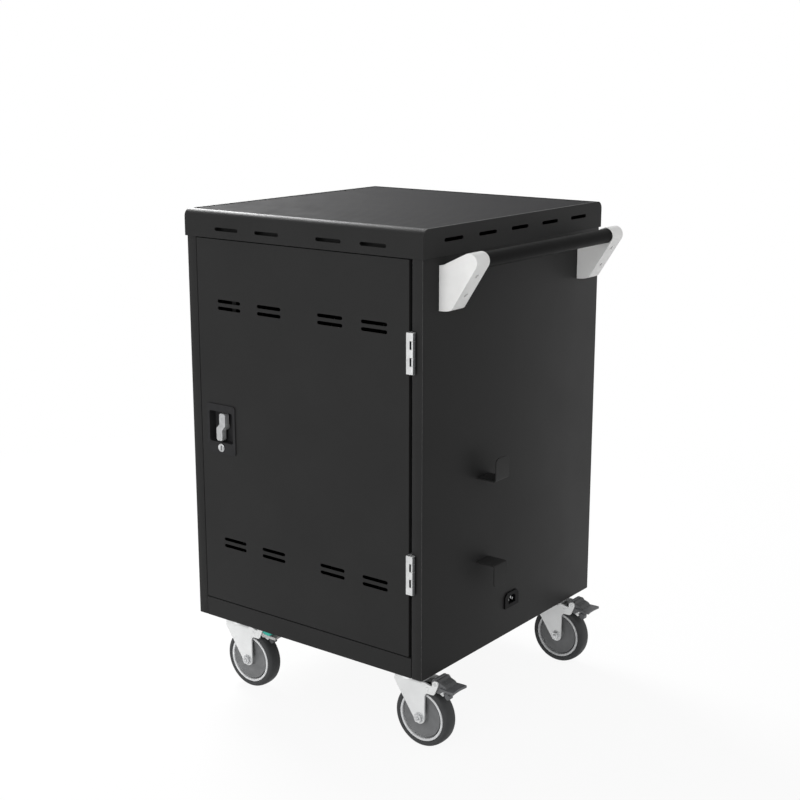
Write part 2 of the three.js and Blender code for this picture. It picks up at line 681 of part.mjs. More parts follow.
// Crank: a steel disc on the spindle with two pins, at 45 degrees.
function crank() {
  const along = CRANK_SWING;
  const back = CRANK_Y + CRANK_T;
  const pin = (s) => bar(
    [LATCH_X + s * along, CRANK_Y + CRANK_T / 2, CUP_Z - s * along],
    [LATCH_X + s * along, ROD_Y + ROD_T + 1, CUP_Z - s * along], CRANK_PIN_R, 8,
  );
  const disc = bar([LATCH_X, CRANK_Y, CUP_Z], [LATCH_X, back, CUP_Z], CRANK_R + CRANK_RIM, 24);
  const bore = bar([LATCH_X, CRANK_Y - 1, CUP_Z], [LATCH_X, back + 1, CUP_Z], SPINDLE_R + FIT);
  return cut(join(disc, pin(1), pin(-1)), bore);
}

// Locking rod, drawn back: a flat bar from the crank to the end of the door, with a slotted inner end.
function lockRod(side) {
  const x = LATCH_X + side * ROD_X;
  const pinZ = CUP_Z - side * CRANK_SWING;
  const slotL = CRANK_R - CRANK_SWING + 2 * (CRANK_PIN_R + ROD_PLAY);
  const slotH = 2 * (CRANK_PIN_R + ROD_PLAY);
  const end = side > 0 ? DOOR_Z1 - FIT : DOOR_Z0 + FIT;
  const [z0, z1] = side > 0 ? [pinZ, end] : [end, pinZ];
  const [wide, tall] = [slotL / 2 + ROD_EYE_RIM, slotH / 2 + ROD_EYE_RIM];
  const eye = roundRect(x - wide, x + wide, pinZ - tall, pinZ + tall, ROD_EYE_RIM);
  return cut(
    join(
      block(x - ROD_W / 2, x + ROD_W / 2, ROD_Y, ROD_Y + ROD_T, z0, z1),
      sweep(eye, 'y', ROD_Y, ROD_Y + ROD_T, 1),
    ),
    sweep(slot(x, pinZ, slotL, slotH), 'y', ROD_Y - 1, ROD_Y + ROD_T + 1),
  );
}

// Rear lock: key plug through the door's skin with a cam arm that swings behind the strip's lip.
function camLock() {
  const x = REAR_LOCK_X;
  const y0 = FRONT - ROSE_T;
  const y1 = FRONT + DOOR_T + CAM_GAP;
  const z = DOOR_MID_Z;
  const half = CAM_W / 2;
  const reach = x - (-SIDE + STRIP) + LIP / 2;
  return cut(
    join(
      bar([x, y0, z], [x, FRONT - FIT, z], PLUG_R + ROSE_RIM, 16),
      bar([x, FRONT - 1, z], [x, y1 + 1, z], PLUG_R, 16),
      sweep(roundRect(x - half, x + half, z - half, z + reach, CAM_CORNER), 'y', y1, y1 + CAM_T, 1),
    ),
    keyway(x, y0, z),
  );
}

function rearDoor() {
  const x = REAR_LOCK_X;
  const hole = bar([x, FRONT - SHEET, DOOR_MID_Z], [x, FRONT + 2 * SHEET, DOOR_MID_Z], PLUG_R + FIT, 16);
  return cut(doorPan([0]), hole);
}

// Handle bracket: level off the panel, up to a round nose about the tube, then slanting back to its foot.
function handleBracket(side) {
  const wall = SIDE + FIT;
  const top = BRACKET_FOOT_Z + BRACKET_FOOT_H;
  const nose = new THREE.Vector2(wall + NOSE_REACH, NOSE_Z);
  const step = new THREE.Vector2(wall + BRACKET_STEP, top + BRACKET_LIFT);
  const toe = new THREE.Vector2(wall + BRACKET_TOE, BRACKET_FOOT_Z + BRACKET_TOE_R);
  const tangent = (point, way) => {
    const run = nose.clone().sub(point);
    return run.angle() + way * Math.asin(NOSE_R / run.length()) + (way * Math.PI) / 2;
  };
  const shape = new THREE.Shape();
  shape.moveTo(wall, BRACKET_FOOT_Z);
  shape.quadraticCurveTo(toe.x - BRACKET_TOE_R, BRACKET_FOOT_Z, toe.x, toe.y);
  shape.absarc(nose.x, nose.y, NOSE_R, tangent(toe, -1), tangent(step, 1));
  shape.lineTo(step.x, step.y);
  shape.quadraticCurveTo(wall + BRACKET_STEP / 2, top, wall, top);
  shape.closePath();
  const y0 = side < 0 ? FRONT + BRACKET_INSET : BACK - BRACKET_INSET - BRACKET_T;
  const inner = side < 0 ? y0 + BRACKET_T : y0;
  const middle = y0 + BRACKET_T / 2;
  const out = new THREE.Vector2(Math.cos(tangent(toe, -1)), Math.sin(tangent(toe, -1)));
  const edge = nose.clone().addScaledVector(out, NOSE_R);
  const screws = BRACKET_SCREWS.map((share) => {
    const at = edge.clone().lerp(toe, share);
    const deep = at.clone().addScaledVector(out, -TUBE_SOCKET / 2);
    const proud = at.clone().addScaledVector(out, NOSE_R);
    return bar([deep.x, middle, deep.y], [proud.x, middle, proud.y], BRACKET_SCREW_R, 10);
  });
  const socketEnd = inner + side * TUBE_SOCKET;
  const mouth = inner - side * FIT;
  const socket = bar([nose.x, mouth, nose.y], [nose.x, socketEnd, nose.y], TUBE_R + FIT, 20);
  return cut(sweep(shape, 'y', y0, y0 + BRACKET_T, 5), socket, ...screws);
}

function gripTube() {
  const reach = BACK - BRACKET_INSET - BRACKET_T + TUBE_SOCKET - FIT;
  const x = SIDE + FIT + NOSE_REACH;
  return cut(
    bar([x, -reach, NOSE_Z], [x, reach, NOSE_Z], TUBE_R, 20),
    bar([x, -reach - 1, NOSE_Z], [x, reach + 1, NOSE_Z], TUBE_R - TUBE_WALL),
  );
}

// Cord hook: a folded strip, an arm out from the panel and a lip up or down with rounded corners.
function cordHook(way) {
  const wall = SIDE + FIT;
  const z = BASE_Z + (way > 0 ? HOOK_UPPER_H : HOOK_LOWER_H);
  const tip = z + way * HOOK_LIP;
  const out = wall + HOOK_REACH;
  const path = [[wall, z], [out, z], [out, tip]];
  const strip = folded(way > 0 ? path : path.reverse(), HOOK_T, 2 * HOOK_T);
  const y = FRONT + HOOK_Y;
  const [z0, z1] = [Math.min(z, tip), Math.max(z, tip)];
  const face = roundRect(
    y - HOOK_W / 2, y + HOOK_W / 2,
    way > 0 ? z0 - HOOK_LIP : z0, way > 0 ? z1 : z1 + HOOK_LIP, HOOK_CORNER,
  );
  return sweep(strip, 'y', y - HOOK_W, y + HOOK_W).intersect(sweep(face, 'x', wall - 1, out + 1));
}

// Mains inlet: bevelled flange, body through the panel, keyed socket with three flat pins.
function mainsInlet() {
  const y = FRONT + INLET_Y;
  const z = INLET_Z;
  const bevelled = (wide, tall, bevel) => {
    const [dy, dz] = [wide / 2, tall / 2];
    return outline([
      [y - dy, z - dz], [y + dy, z - dz], [y + dy, z + dz - bevel],
      [y + dy - bevel, z + dz], [y - dy + bevel, z + dz], [y - dy, z + dz - bevel],
    ]);
  };
  const face = SIDE + FIT;
  const back = face - INLET_BODY_D;
  const floor = face + INLET_FLANGE_T - SOCKET_D;
  const [w, h] = [INLET_PIN_W / 2, INLET_PIN_H / 2];
  const pins = INLET_PINS.map(([dy, dz]) => (
    block(floor - 1, face - 1, y + dy - w, y + dy + w, z + dz - h, z + dz + h)
  ));
  const shell = cut(
    join(
      sweep(bevelled(INLET_W, INLET_H, INLET_BEVEL), 'x', face, face + INLET_FLANGE_T),
      sweep(bevelled(INLET_BODY_W, INLET_BODY_H, INLET_BODY_BEVEL), 'x', back, face + 1),
    ),
    sweep(bevelled(SOCKET_W, SOCKET_H, SOCKET_BEVEL), 'x', floor, face + 2 * INLET_FLANGE_T),
  );
  return join(shell, ...pins);
}

// Cover box over the inlet's terminals, open towards the panel.
function inletCover() {
  const x1 = SIDE - SHEET - FIT;
  const x0 = x1 - COVER_D;
  const [y0, y1] = [FRONT + INLET_Y - COVER_W / 2, FRONT + INLET_Y + COVER_W / 2];
  const z0 = DECK_TOP + FIT;
  const shell = sweep(roundRect(y0, y1, z0, z0 + COVER_H, BEND), 'x', x0, x1, 1);
  const inside = roundRect(y0 + SHEET, y1 - SHEET, z0 + SHEET, z0 + COVER_H - SHEET, BEND - SHEET);
  return cut(shell, sweep(inside, 'x', x0 + SHEET, x1 + 1, 1));
}

// Lower deck over the base pan, turned up at the partition.
function lowerDeck() {
  const y1 = PARTITION_Y - FIT;
  const path = [[FRONT + DECK_FRONT, DECK_Z], [y1, DECK_Z], [y1, DECK_Z + SHELF_LIP]];
  return sweep(folded(path), 'x', -INNER_X, INNER_X);
}

// Middle shelf: front edge turned down, rear edge turned up at the partition.
function middleShelf() {
  const y0 = FRONT + SHELF_FRONT;
  const y1 = PARTITION_Y - FIT;
  const path = [[y0, SHELF_Z - SHELF_LIP], [y0, SHELF_Z], [y1, SHELF_Z], [y1, SHELF_Z + SHELF_LIP]];
  return sweep(folded(path), 'x', -INNER_X, INNER_X);
}

// Divider rack: upright fins with a swept-back front corner on one base strip.
function dividerRack(deck) {
  const z0 = deck + FIT;
  const y0 = FRONT + SHELF_FRONT + BEND;
  const y1 = y0 + FIN_D;
  const top = z0 + FIN_H;
  const fin = new THREE.Shape();
  fin.moveTo(y0, z0);
  fin.lineTo(y1, z0);
  fin.lineTo(y1, top);
  fin.absarc(y0 + FIN_NOSE, top - FIN_NOSE, FIN_NOSE, Math.PI / 2, Math.PI);
  fin.closePath();
  const parts = [block(RACK_X, RACK_X + BAYS * BAY_PITCH + FIN_T, y0, y1, z0, z0 + FIN_T)];
  for (let i = 0; i <= BAYS; i += 1) {
    const x = RACK_X + i * BAY_PITCH;
    parts.push(sweep(fin, 'x', x, x + FIN_T));
  }
  return join(...parts);
}

// Partition between the device bay and the adapter bay, with slots for the charging leads.
function partition() {
  const sheet = block(-INNER_X, INNER_X, PARTITION_Y, PARTITION_Y + SHEET, DECK_Z, TRAY_Z);
  const slots = [];
  for (const z of [DECK_TOP, SHELF_Z]) {
    for (const column of SLOT_COLUMNS) {
      const shape = slot(column, z + VENT_INSET, LEAD_SLOT_L, LEAD_SLOT_H);
      slots.push(sweep(shape, 'y', PARTITION_Y - 1, PARTITION_Y + SHEET + 1));
    }
  }
  return cut(sheet, ...slots);
}

// Adapter shelf behind the partition, turned up at both edges.
function adapterShelf(z) {
  const y0 = PARTITION_Y + SHEET + FIT;
  const y1 = BACK - DECK_FRONT;
  const path = [[y0, z + SHELF_LIP], [y0, z], [y1, z], [y1, z + ADAPTER_LIP]];
  return sweep(folded(path), 'x', -INNER_X, INNER_X);
}

// Outlet strip on the partition, with a row of recessed outlets.
function outletStrip(shelf) {
  const half = (OUTLETS * OUTLET_PITCH) / 2 + BEND;
  const y0 = PARTITION_Y + SHEET + FIT;
  const y1 = y0 + STRIP_D;
  const z = shelf + OUTLET_STRIP_H;
  const strip = sweep(roundRect(y0, y1, z - STRIP_H / 2, z + STRIP_H / 2, BEND), 'x', -half, half, 1);
  const recesses = [];
  for (let i = 0; i < OUTLETS; i += 1) {
    const x = (i - (OUTLETS - 1) / 2) * OUTLET_PITCH;
    const [x0, x1] = [x - OUTLET_W / 2, x + OUTLET_W / 2];
    recesses.push(block(x0, x1, y1 - OUTLET_DEPTH, y1 + 1, z - OUTLET_H / 2, z + OUTLET_H / 2));
  }
  return cut(strip, ...recesses);
}

// Caster, with its swivel axis at the origin and its wheel trailing towards +X.
function casterPlate() {
  const under = CASTER_H - PLATE_T;
  const race = CROWN_Z + FORK_T;
  const cup = turned([
    [0, race + FIT], [CUP_R, race + FIT], [CUP_R + 2, race + 3], [CUP_R - 3, under + 1], [0, under + 1],
  ], 14, 'z');
  const nut = CROWN_Z - FORK_T - FIT;
  const plate = roundRect(-PLATE_L / 2, PLATE_L / 2, -PLATE_W / 2, PLATE_W / 2, PLATE_CORNER);
  return join(
    sweep(plate, 'z', under, CASTER_H, 1),
    cup,
    bar([0, 0, nut - 2], [0, 0, under], KINGPIN_R, 8),
    bar([0, 0, nut - 4], [0, 0, nut], 2 * KINGPIN_R, 6),
  );
}

// Fork: pressed crown, legs that taper to the axle, and ears behind with a heel for the brake pedal.
function casterFork() {
  const back = CASTER_TRAIL + AXLE_BOSS_R;
  const heel = PEDAL_Z - EAR_DROP;
  const cheek = new THREE.Vector2(-FORK_LEAD, CROWN_Z - FORK_CHEEK);
  const taper = new THREE.Vector2(CASTER_TRAIL, WHEEL_R).sub(cheek);
  const slope = taper.angle() - Math.asin(AXLE_BOSS_R / taper.length());
  const side = new THREE.Shape();
  side.moveTo(-FORK_LEAD, CROWN_Z);
  side.lineTo(cheek.x, cheek.y);
  side.absarc(CASTER_TRAIL, WHEEL_R, AXLE_BOSS_R, slope - Math.PI / 2, 2 * Math.PI);
  side.lineTo(back, heel - EAR_FILLET);
  side.quadraticCurveTo(back, heel, back + EAR_FILLET, heel);
  side.lineTo(PEDAL_X - EAR_R, heel);
  side.quadraticCurveTo(PEDAL_X, heel, PEDAL_X + EAR_R / 4, heel + EAR_R);
  side.absarc(PEDAL_X, PEDAL_Z, EAR_R, 0, Math.PI);
  side.lineTo(PEDAL_X - EAR_R, CROWN_Z - EAR_NOTCH);
  side.lineTo(PEDAL_X - EAR_R - EAR_NOTCH, CROWN_Z - EAR_NOTCH);
  side.lineTo(back, CROWN_Z);
  side.closePath();
  const inner = FORK_GAP / 2;
  const outer = inner + FORK_T;
  const crownEnd = back - EAR_FILLET;
  const head = (s) => bar(
    [CASTER_TRAIL, s * (outer - 1), WHEEL_R],
    [CASTER_TRAIL, s * (outer + AXLE_HEAD_T), WHEEL_R], AXLE_HEAD_R, 6,
  );
  const race = bar([0, 0, CROWN_Z - 1], [0, 0, CROWN_Z + FORK_T], RACE_R, 12);
  const shell = cut(
    join(sweep(side, 'y', -outer, outer), race),
    block(-2 * FORK_LEAD, 2 * PEDAL_X, -inner, inner, 0, CROWN_Z - FORK_T),
    block(crownEnd, 2 * PEDAL_X, -inner, inner, 0, CASTER_H),
    bar([0, 0, 0], [0, 0, CASTER_H], KINGPIN_R + FIT, 8),
    bar([PEDAL_X, -outer - 1, PEDAL_Z], [PEDAL_X, outer + 1, PEDAL_Z], PEDAL_PIN_R + FIT, 8),
  );
  const axle = bar([CASTER_TRAIL, -outer, WHEEL_R], [CASTER_TRAIL, outer, WHEEL_R], AXLE_R, 8);
  return join(shell, axle, head(1), head(-1));
}

// Wheel hub: dished disc with a boss and a rim. Wheel pieces turn about Y at the axle.
function casterHub() {
  const [boss, web, rim] = [HUB_BOSS_W / 2, HUB_WEB_W / 2, TYRE_W / 2 - HUB_RIM_STEP];
  const half = [
    [AXLE_R + FIT, boss], [HUB_BOSS_R, boss], [HUB_WEB_R, web], [HUB_R - HUB_RIM, web], [HUB_R, rim],
  ];
  const mirrored = half.map(([r, h]) => [r, -h]).reverse();
  return turned([...half, ...mirrored, half[0]], WHEEL_SIDES);
}

function casterTyre() {
  const w = TYRE_W / 2;
  const inside = HUB_R + FIT;
  const half = [
    [inside, w - HUB_RIM_STEP], [inside + HUB_RIM_STEP, w],
    [WHEEL_R - TYRE_SHOULDER, w - HUB_RIM_STEP], [WHEEL_R, w / 3],
  ];
  const mirrored = half.map(([r, h]) => [r, -h]).reverse();
  return turned([...half, ...mirrored, half[0]], WHEEL_SIDES);
}

// Brake pedal: wing behind the ears, hub on a cross pin, shoe that comes down on the tyre.
function brakePedal() {
  const half = FORK_GAP / 2 - FIT;
  const outer = FORK_GAP / 2 + FORK_T;
  const wide = PEDAL_W / 2;
  const top = PEDAL_Z + PEDAL_HUB_R + 1;
  const neck = PEDAL_X + PEDAL_NECK;
  const tip = PEDAL_X + PEDAL_L - PEDAL_CORNER;
  const side = new THREE.Shape();
  side.moveTo(PEDAL_X, PEDAL_Z + PEDAL_HUB_R);
  side.absarc(PEDAL_X, PEDAL_Z, PEDAL_HUB_R, Math.PI / 2, Math.PI);
  side.lineTo(PEDAL_X + 1, PEDAL_Z - SHOE_DROP);
  side.lineTo(PEDAL_X + 1 + SHOE_T, PEDAL_Z - SHOE_DROP + 2);
  side.quadraticCurveTo(PEDAL_X + 1 + SHOE_T, PEDAL_Z - PEDAL_T, neck, PEDAL_Z);
  side.lineTo(neck, top);
  side.closePath();
  const wing = new THREE.Shape();
  wing.moveTo(neck - PEDAL_CORNER, -half);
  wing.lineTo(neck, -wide);
  wing.absarc(tip, PEDAL_CORNER - wide, PEDAL_CORNER, -Math.PI / 2, 0);
  wing.absarc(tip, wide - PEDAL_CORNER, PEDAL_CORNER, 0, Math.PI / 2);
  wing.lineTo(neck, wide);
  wing.lineTo(neck - PEDAL_CORNER, half);
  wing.closePath();
  return join(
    sweep(side, 'y', -half, half),
    sweep(wing, 'z', top - PEDAL_T, top),
    bar([PEDAL_X, -outer - 1, PEDAL_Z], [PEDAL_X, outer + 1, PEDAL_Z], PEDAL_PIN_R, 8),
  );
}

function caster(name, x, y) {
  const group = new THREE.Group();
  group.position.set(x, y, 0);
  const wheel = new THREE.Group();
  wheel.position.set(CASTER_TRAIL, 0, WHEEL_R);
  wheel.add(piece(`hub_${name}`, casterHub(), HUB_PLASTIC), piece(`tyre_${name}`, casterTyre(), TYRE_RUBBER));
  group.add(
    piece(`caster_plate_${name}`, casterPlate(), ZINC),
    piece(`fork_${name}`, casterFork(), ZINC),
    piece(`brake_pedal_${name}`, brakePedal(), PEDAL_PLASTIC),
    wheel,
  );
  return group;
}

const hingeHeights = { lower: DOOR_Z0 + HINGE_INSET, upper: DOOR_Z1 - HINGE_INSET };

function hinges(place) {
  return Object.entries(hingeHeights).flatMap(([level, z]) => [
    piece(`${place}_hinge_frame_leaf_${level}`, frameLeaf(z), ZINC),
    piece(`${place}_hinge_door_leaf_${level}`, doorLeaf(z), ZINC),
  ]);
}

const cart = new THREE.Group();
cart.add(
  piece('side_panel_left', sidePanel(-1), POWDER_COAT),
  piece('side_panel_right', rightPanel(), POWDER_COAT),
  piece('base_pan', basePan(), POWDER_COAT),
  piece('header_front', cut(header(), rodHole(1, TRAY_Z, TRAY_Z + DOOR_GAP + 3 * SHEET)), POWDER_COAT),
  piece('top_tray', topTray(), POWDER_COAT),
  piece('top_mat', topMat(), RUBBER_MAT),
  piece('front_door', frontDoor(), POWDER_COAT),
  piece('latch_plate', cupPlate(), BLACK_PLASTIC),
  piece('latch_handle', twistHandle(), SATIN_CAST),
  piece('latch_crank', crank(), ZINC),
  piece('lock_plug', keyPlug(), CHROME),
  piece('lock_rod_upper', lockRod(1), POWDER_COAT),
  piece('lock_rod_lower', lockRod(-1), POWDER_COAT),
  piece('handle_bracket_front', handleBracket(-1), GREY_PLASTIC),
  piece('handle_bracket_rear', handleBracket(1), GREY_PLASTIC),
  piece('handle_tube', gripTube(), TUBE_COAT),
  piece('cord_hook_upper', cordHook(1), POWDER_COAT),
  piece('cord_hook_lower', cordHook(-1), POWDER_COAT),
  piece('mains_inlet', mainsInlet(), BLACK_PLASTIC),
  piece('inlet_cover', inletCover(), POWDER_COAT),
  piece('lower_deck', lowerDeck(), POWDER_COAT),
  piece('middle_shelf', middleShelf(), POWDER_COAT),
  piece('divider_rack_lower', dividerRack(DECK_TOP), BLACK_PLASTIC),
  piece('divider_rack_upper', dividerRack(SHELF_Z + SHEET), BLACK_PLASTIC),
  piece('partition', partition(), POWDER_COAT),
  ...hinges('front'),
);
for (const [level, z] of Object.entries(ADAPTER_SHELVES_Z)) {
  cart.add(
    piece(`adapter_shelf_${level}`, adapterShelf(z), POWDER_COAT),
    piece(`outlet_strip_${level}`, outletStrip(z), BLACK_PLASTIC),
  );
}

// The rear is the front turned half round, with a key lock in place of the twist handle.
const rear = new THREE.Group();
rear.rotation.z = Math.PI;
rear.add(
  piece('header_rear', header(), POWDER_COAT),
  piece('rear_door', rearDoor(), POWDER_COAT),
  piece('rear_lock', camLock(), CHROME),
  ...hinges('rear'),
);
cart.add(rear);

for (const [end, sy] of [['front', -1], ['rear', 1]]) {
  for (const [side, sx] of [['left', -1], ['right', 1]]) {
    cart.add(caster(`${end}_${side}`, sx * (SIDE - CASTER_INSET_X), sy * (BACK - CASTER_INSET_Y)));
  }
}

// The origin is on the floor, in the middle of the cart's footprint.
const footprint = new THREE.Box3().setFromObject(cart);
cart.position.set(-(footprint.min.x + footprint.max.x) / 2, -(footprint.min.y + footprint.max.y) / 2, 0);

const root = new THREE.Group();
root.add(cart);

export default root;
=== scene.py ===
import json
import math

import bmesh
import bpy
from mathutils import Matrix, Vector


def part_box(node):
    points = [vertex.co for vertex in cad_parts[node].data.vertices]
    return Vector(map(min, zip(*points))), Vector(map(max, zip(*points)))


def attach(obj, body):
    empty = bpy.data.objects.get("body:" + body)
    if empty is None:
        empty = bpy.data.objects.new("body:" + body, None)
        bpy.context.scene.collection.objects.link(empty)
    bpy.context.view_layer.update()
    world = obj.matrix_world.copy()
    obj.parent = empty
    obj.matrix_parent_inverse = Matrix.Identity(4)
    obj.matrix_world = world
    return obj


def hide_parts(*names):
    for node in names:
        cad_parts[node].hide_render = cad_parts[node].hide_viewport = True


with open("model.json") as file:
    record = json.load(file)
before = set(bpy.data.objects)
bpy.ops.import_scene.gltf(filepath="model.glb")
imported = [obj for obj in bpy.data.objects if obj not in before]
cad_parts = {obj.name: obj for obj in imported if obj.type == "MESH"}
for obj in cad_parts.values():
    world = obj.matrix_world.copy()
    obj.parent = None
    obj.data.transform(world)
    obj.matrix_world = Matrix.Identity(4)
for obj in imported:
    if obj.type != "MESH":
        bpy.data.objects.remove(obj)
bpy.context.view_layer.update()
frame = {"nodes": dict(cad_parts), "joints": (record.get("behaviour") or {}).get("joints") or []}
scene = bpy.context.scene
scene.view_settings.view_transform = "Standard"

# Camera: a moderate telephoto lens on a stand in front of the cart and to its right, a little above the
# top and tilted slightly down, so that the front, the right side and the top all show.
CAMERA_AT = (1.726, -2.3145, 1.3023)
CAMERA_YAW = 37.255
CAMERA_PITCH = 13.594
SENSOR_MM = 36.0
LENS_MM = 64.69

camera = bpy.data.objects.new("camera", bpy.data.cameras.new("camera"))
camera.data.sensor_width = SENSOR_MM
camera.data.lens = LENS_MM
camera.location = CAMERA_AT
camera.rotation_euler = (math.radians(90 - CAMERA_PITCH), 0, math.radians(CAMERA_YAW))
scene.collection.objects.link(camera)
scene.camera = camera

# Studio: white surroundings that dim towards the ceiling, a wide softbox in front of the cart and a smaller
# one over its left side. The floor is a sheet of matt white paper, which keeps the cart's shadow and fades
# into the white round it.
WHITE = "#ffffff"
HORIZON_LIGHT = 1.02
ZENITH_LIGHT = 0.42
ZENITH_HEIGHT = 0.9
PAPER = "#dcdcdc"
PAPER_GLOW = 0.92
PAPER_REACH_M = 0.9
PAPER_FADE_M = 2.2
PAPER_R_M = 12.0
PAPER_SIDES = 96
# Each softbox has a place, a point that it faces, a width and height, and a power in watts.
SOFTBOXES = {
    "front_softbox": ((0.3, -3.7, 1.5), (0.0, 0.0, 0.4), (2.6, 2.6), 50.0),
    "left_softbox": ((-2.1, 0.8, 2.2), (-0.2, -0.2, 1.0), (1.2, 1.2), 140.0),
}


def linear(hex_colour):
    """An sRGB hex colour as linear red, green, blue and alpha."""
    channels = [int(hex_colour[i:i + 2], 16) / 255 for i in (1, 3, 5)]
    return (*[c / 12.92 if c <= 0.04045 else ((c + 0.055) / 1.055) ** 2.4 for c in channels], 1.0)


def node(tree, kind, values=None, links=None, **settings):
    """Adds a node: settings are its own, values go to its sockets, and links join them to other nodes."""
    made = tree.nodes.new(kind)
    for name, value in settings.items():
        setattr(made, name, value)
    for name, value in (values or {}).items():
        made.inputs[name].default_value = value
    for name, source in (links or {}).items():
        tree.links.new(made.inputs[name], source)
    return made


def seen_directly(tree):
    """1 for a ray from the camera, or off metal or through glass, and 0 for a ray that lights something."""
    path = node(tree, "ShaderNodeLightPath")
    direct = node(
        tree, "ShaderNodeMath",
        links={0: path.outputs["Is Camera Ray"], 1: path.outputs["Is Glossy Ray"]},
    )
    return node(
        tree, "ShaderNodeMath",
        links={0: direct.outputs[0], 1: path.outputs["Is Transmission Ray"]}, use_clamp=True,
    ).outputs[0]


world = bpy.data.worlds.new("studio")
scene.world = world
world.use_nodes = True
tree = world.node_tree
tree.nodes.clear()
direction = node(tree, "ShaderNodeTexCoord")
height = node(tree, "ShaderNodeSeparateXYZ", links={0: direction.outputs["Generated"]})
level = node(
    tree, "ShaderNodeMapRange",
    {"From Min": 0.0, "From Max": ZENITH_HEIGHT, "To Min": HORIZON_LIGHT, "To Max": ZENITH_LIGHT},
    {"Value": height.outputs["Z"]},
)
ambient = node(tree, "ShaderNodeBackground", {"Color": linear(WHITE)}, {"Strength": level.outputs[0]})
white = node(tree, "ShaderNodeBackground", {"Color": linear(WHITE), "Strength": 1.0})
surround = node(
    tree, "ShaderNodeMixShader",
    links={0: seen_directly(tree), 1: ambient.outputs[0], 2: white.outputs[0]},
)
node(tree, "ShaderNodeOutputWorld", links={"Surface": surround.outputs[0]})

# Matt paper: it scatters light evenly. Near the cart a share of it takes the shadow, and the rest is white.
paper = bpy.data.materials.new("white_background_paper")
paper.use_nodes = True
tree = paper.node_tree
tree.nodes.clear()
place = node(tree, "ShaderNodeNewGeometry")
distance = node(tree, "ShaderNodeVectorMath", links={0: place.outputs["Position"]}, operation="LENGTH")
fade = node(
    tree, "ShaderNodeMapRange",
    {"From Min": PAPER_REACH_M, "From Max": PAPER_FADE_M, "To Min": PAPER_GLOW, "To Max": 1.0},
    {"Value": distance.outputs["Value"]},
)
glow_share = node(
    tree, "ShaderNodeMath", links={0: fade.outputs[0], 1: seen_directly(tree)}, operation="MULTIPLY",
)
matt = node(tree, "ShaderNodeBsdfDiffuse", {"Color": linear(PAPER)})
glow = node(tree, "ShaderNodeEmission", {"Color": linear(WHITE), "Strength": 1.0})
mixed = node(
    tree, "ShaderNodeMixShader",
    links={0: glow_share.outputs[0], 1: matt.outputs[0], 2: glow.outputs[0]},
)
node(tree, "ShaderNodeOutputMaterial", links={"Surface": mixed.outputs[0]})

bm = bmesh.new()
bmesh.ops.create_circle(bm, cap_ends=True, segments=PAPER_SIDES, radius=PAPER_R_M)
floor_mesh = bpy.data.meshes.new("floor")
bm.to_mesh(floor_mesh)
bm.free()
floor_mesh.materials.append(paper)
floor = bpy.data.objects.new("floor", floor_mesh)
scene.collection.objects.link(floor)

for name, (at, target, size, power) in SOFTBOXES.items():
    lamp = bpy.data.objects.new(name, bpy.data.lights.new(name, "AREA"))
    lamp.data.shape = "RECTANGLE"
    lamp.data.size, lamp.data.size_y = size
    lamp.data.energy = power
    lamp.location = at
    lamp.rotation_euler = (Vector(target) - Vector(at)).to_track_quat("-Z", "Y").to_euler()
    scene.collection.objects.link(lamp)

# Caster wheels: a grey thermoplastic rubber tyre moulded on a dished polypropylene hub, with a pale ring
# between them. The wheel runs on a bolt through the fork. The profiles give radius and half width.
MM = 0.001
CORNERS = [f"{end}_{side}" for end in ("front", "rear") for side in ("left", "right")]
TYRE_HALF = [
    (50.6, 12.0), (50.9, 14.4), (52.0, 15.5), (55.0, 15.9), (56.8, 15.7), (57.5, 15.1), (58.2, 15.1),
    (60.0, 13.8), (61.3, 11.3), (62.1, 7.6), (62.5, 3.0),
]
RING_HALF = [(45.4, 8.0), (45.4, 14.4), (46.0, 15.2), (49.4, 15.5), (50.2, 14.6)]
HUB_HALF = [
    (4.4, 17.0), (10.0, 17.0), (11.6, 15.6), (14.0, 11.4), (17.0, 10.8), (30.0, 11.2), (39.6, 12.0),
    (42.0, 13.0), (42.7, 12.6), (42.9, 7.5), (45.2, 7.5),
]
WHEEL_SIDES = 72
PATCH_RANGE = (0.3, 0.7)
PATCH_DETAIL = 4.0
GRIT_DETAIL = 2.0
EDGE_ANGLE = 32
EDGE_SEGMENTS = 2
AXIS_ORDER = {"x": (2, 0, 1), "y": (0, 2, 1), "z": (0, 1, 2)}


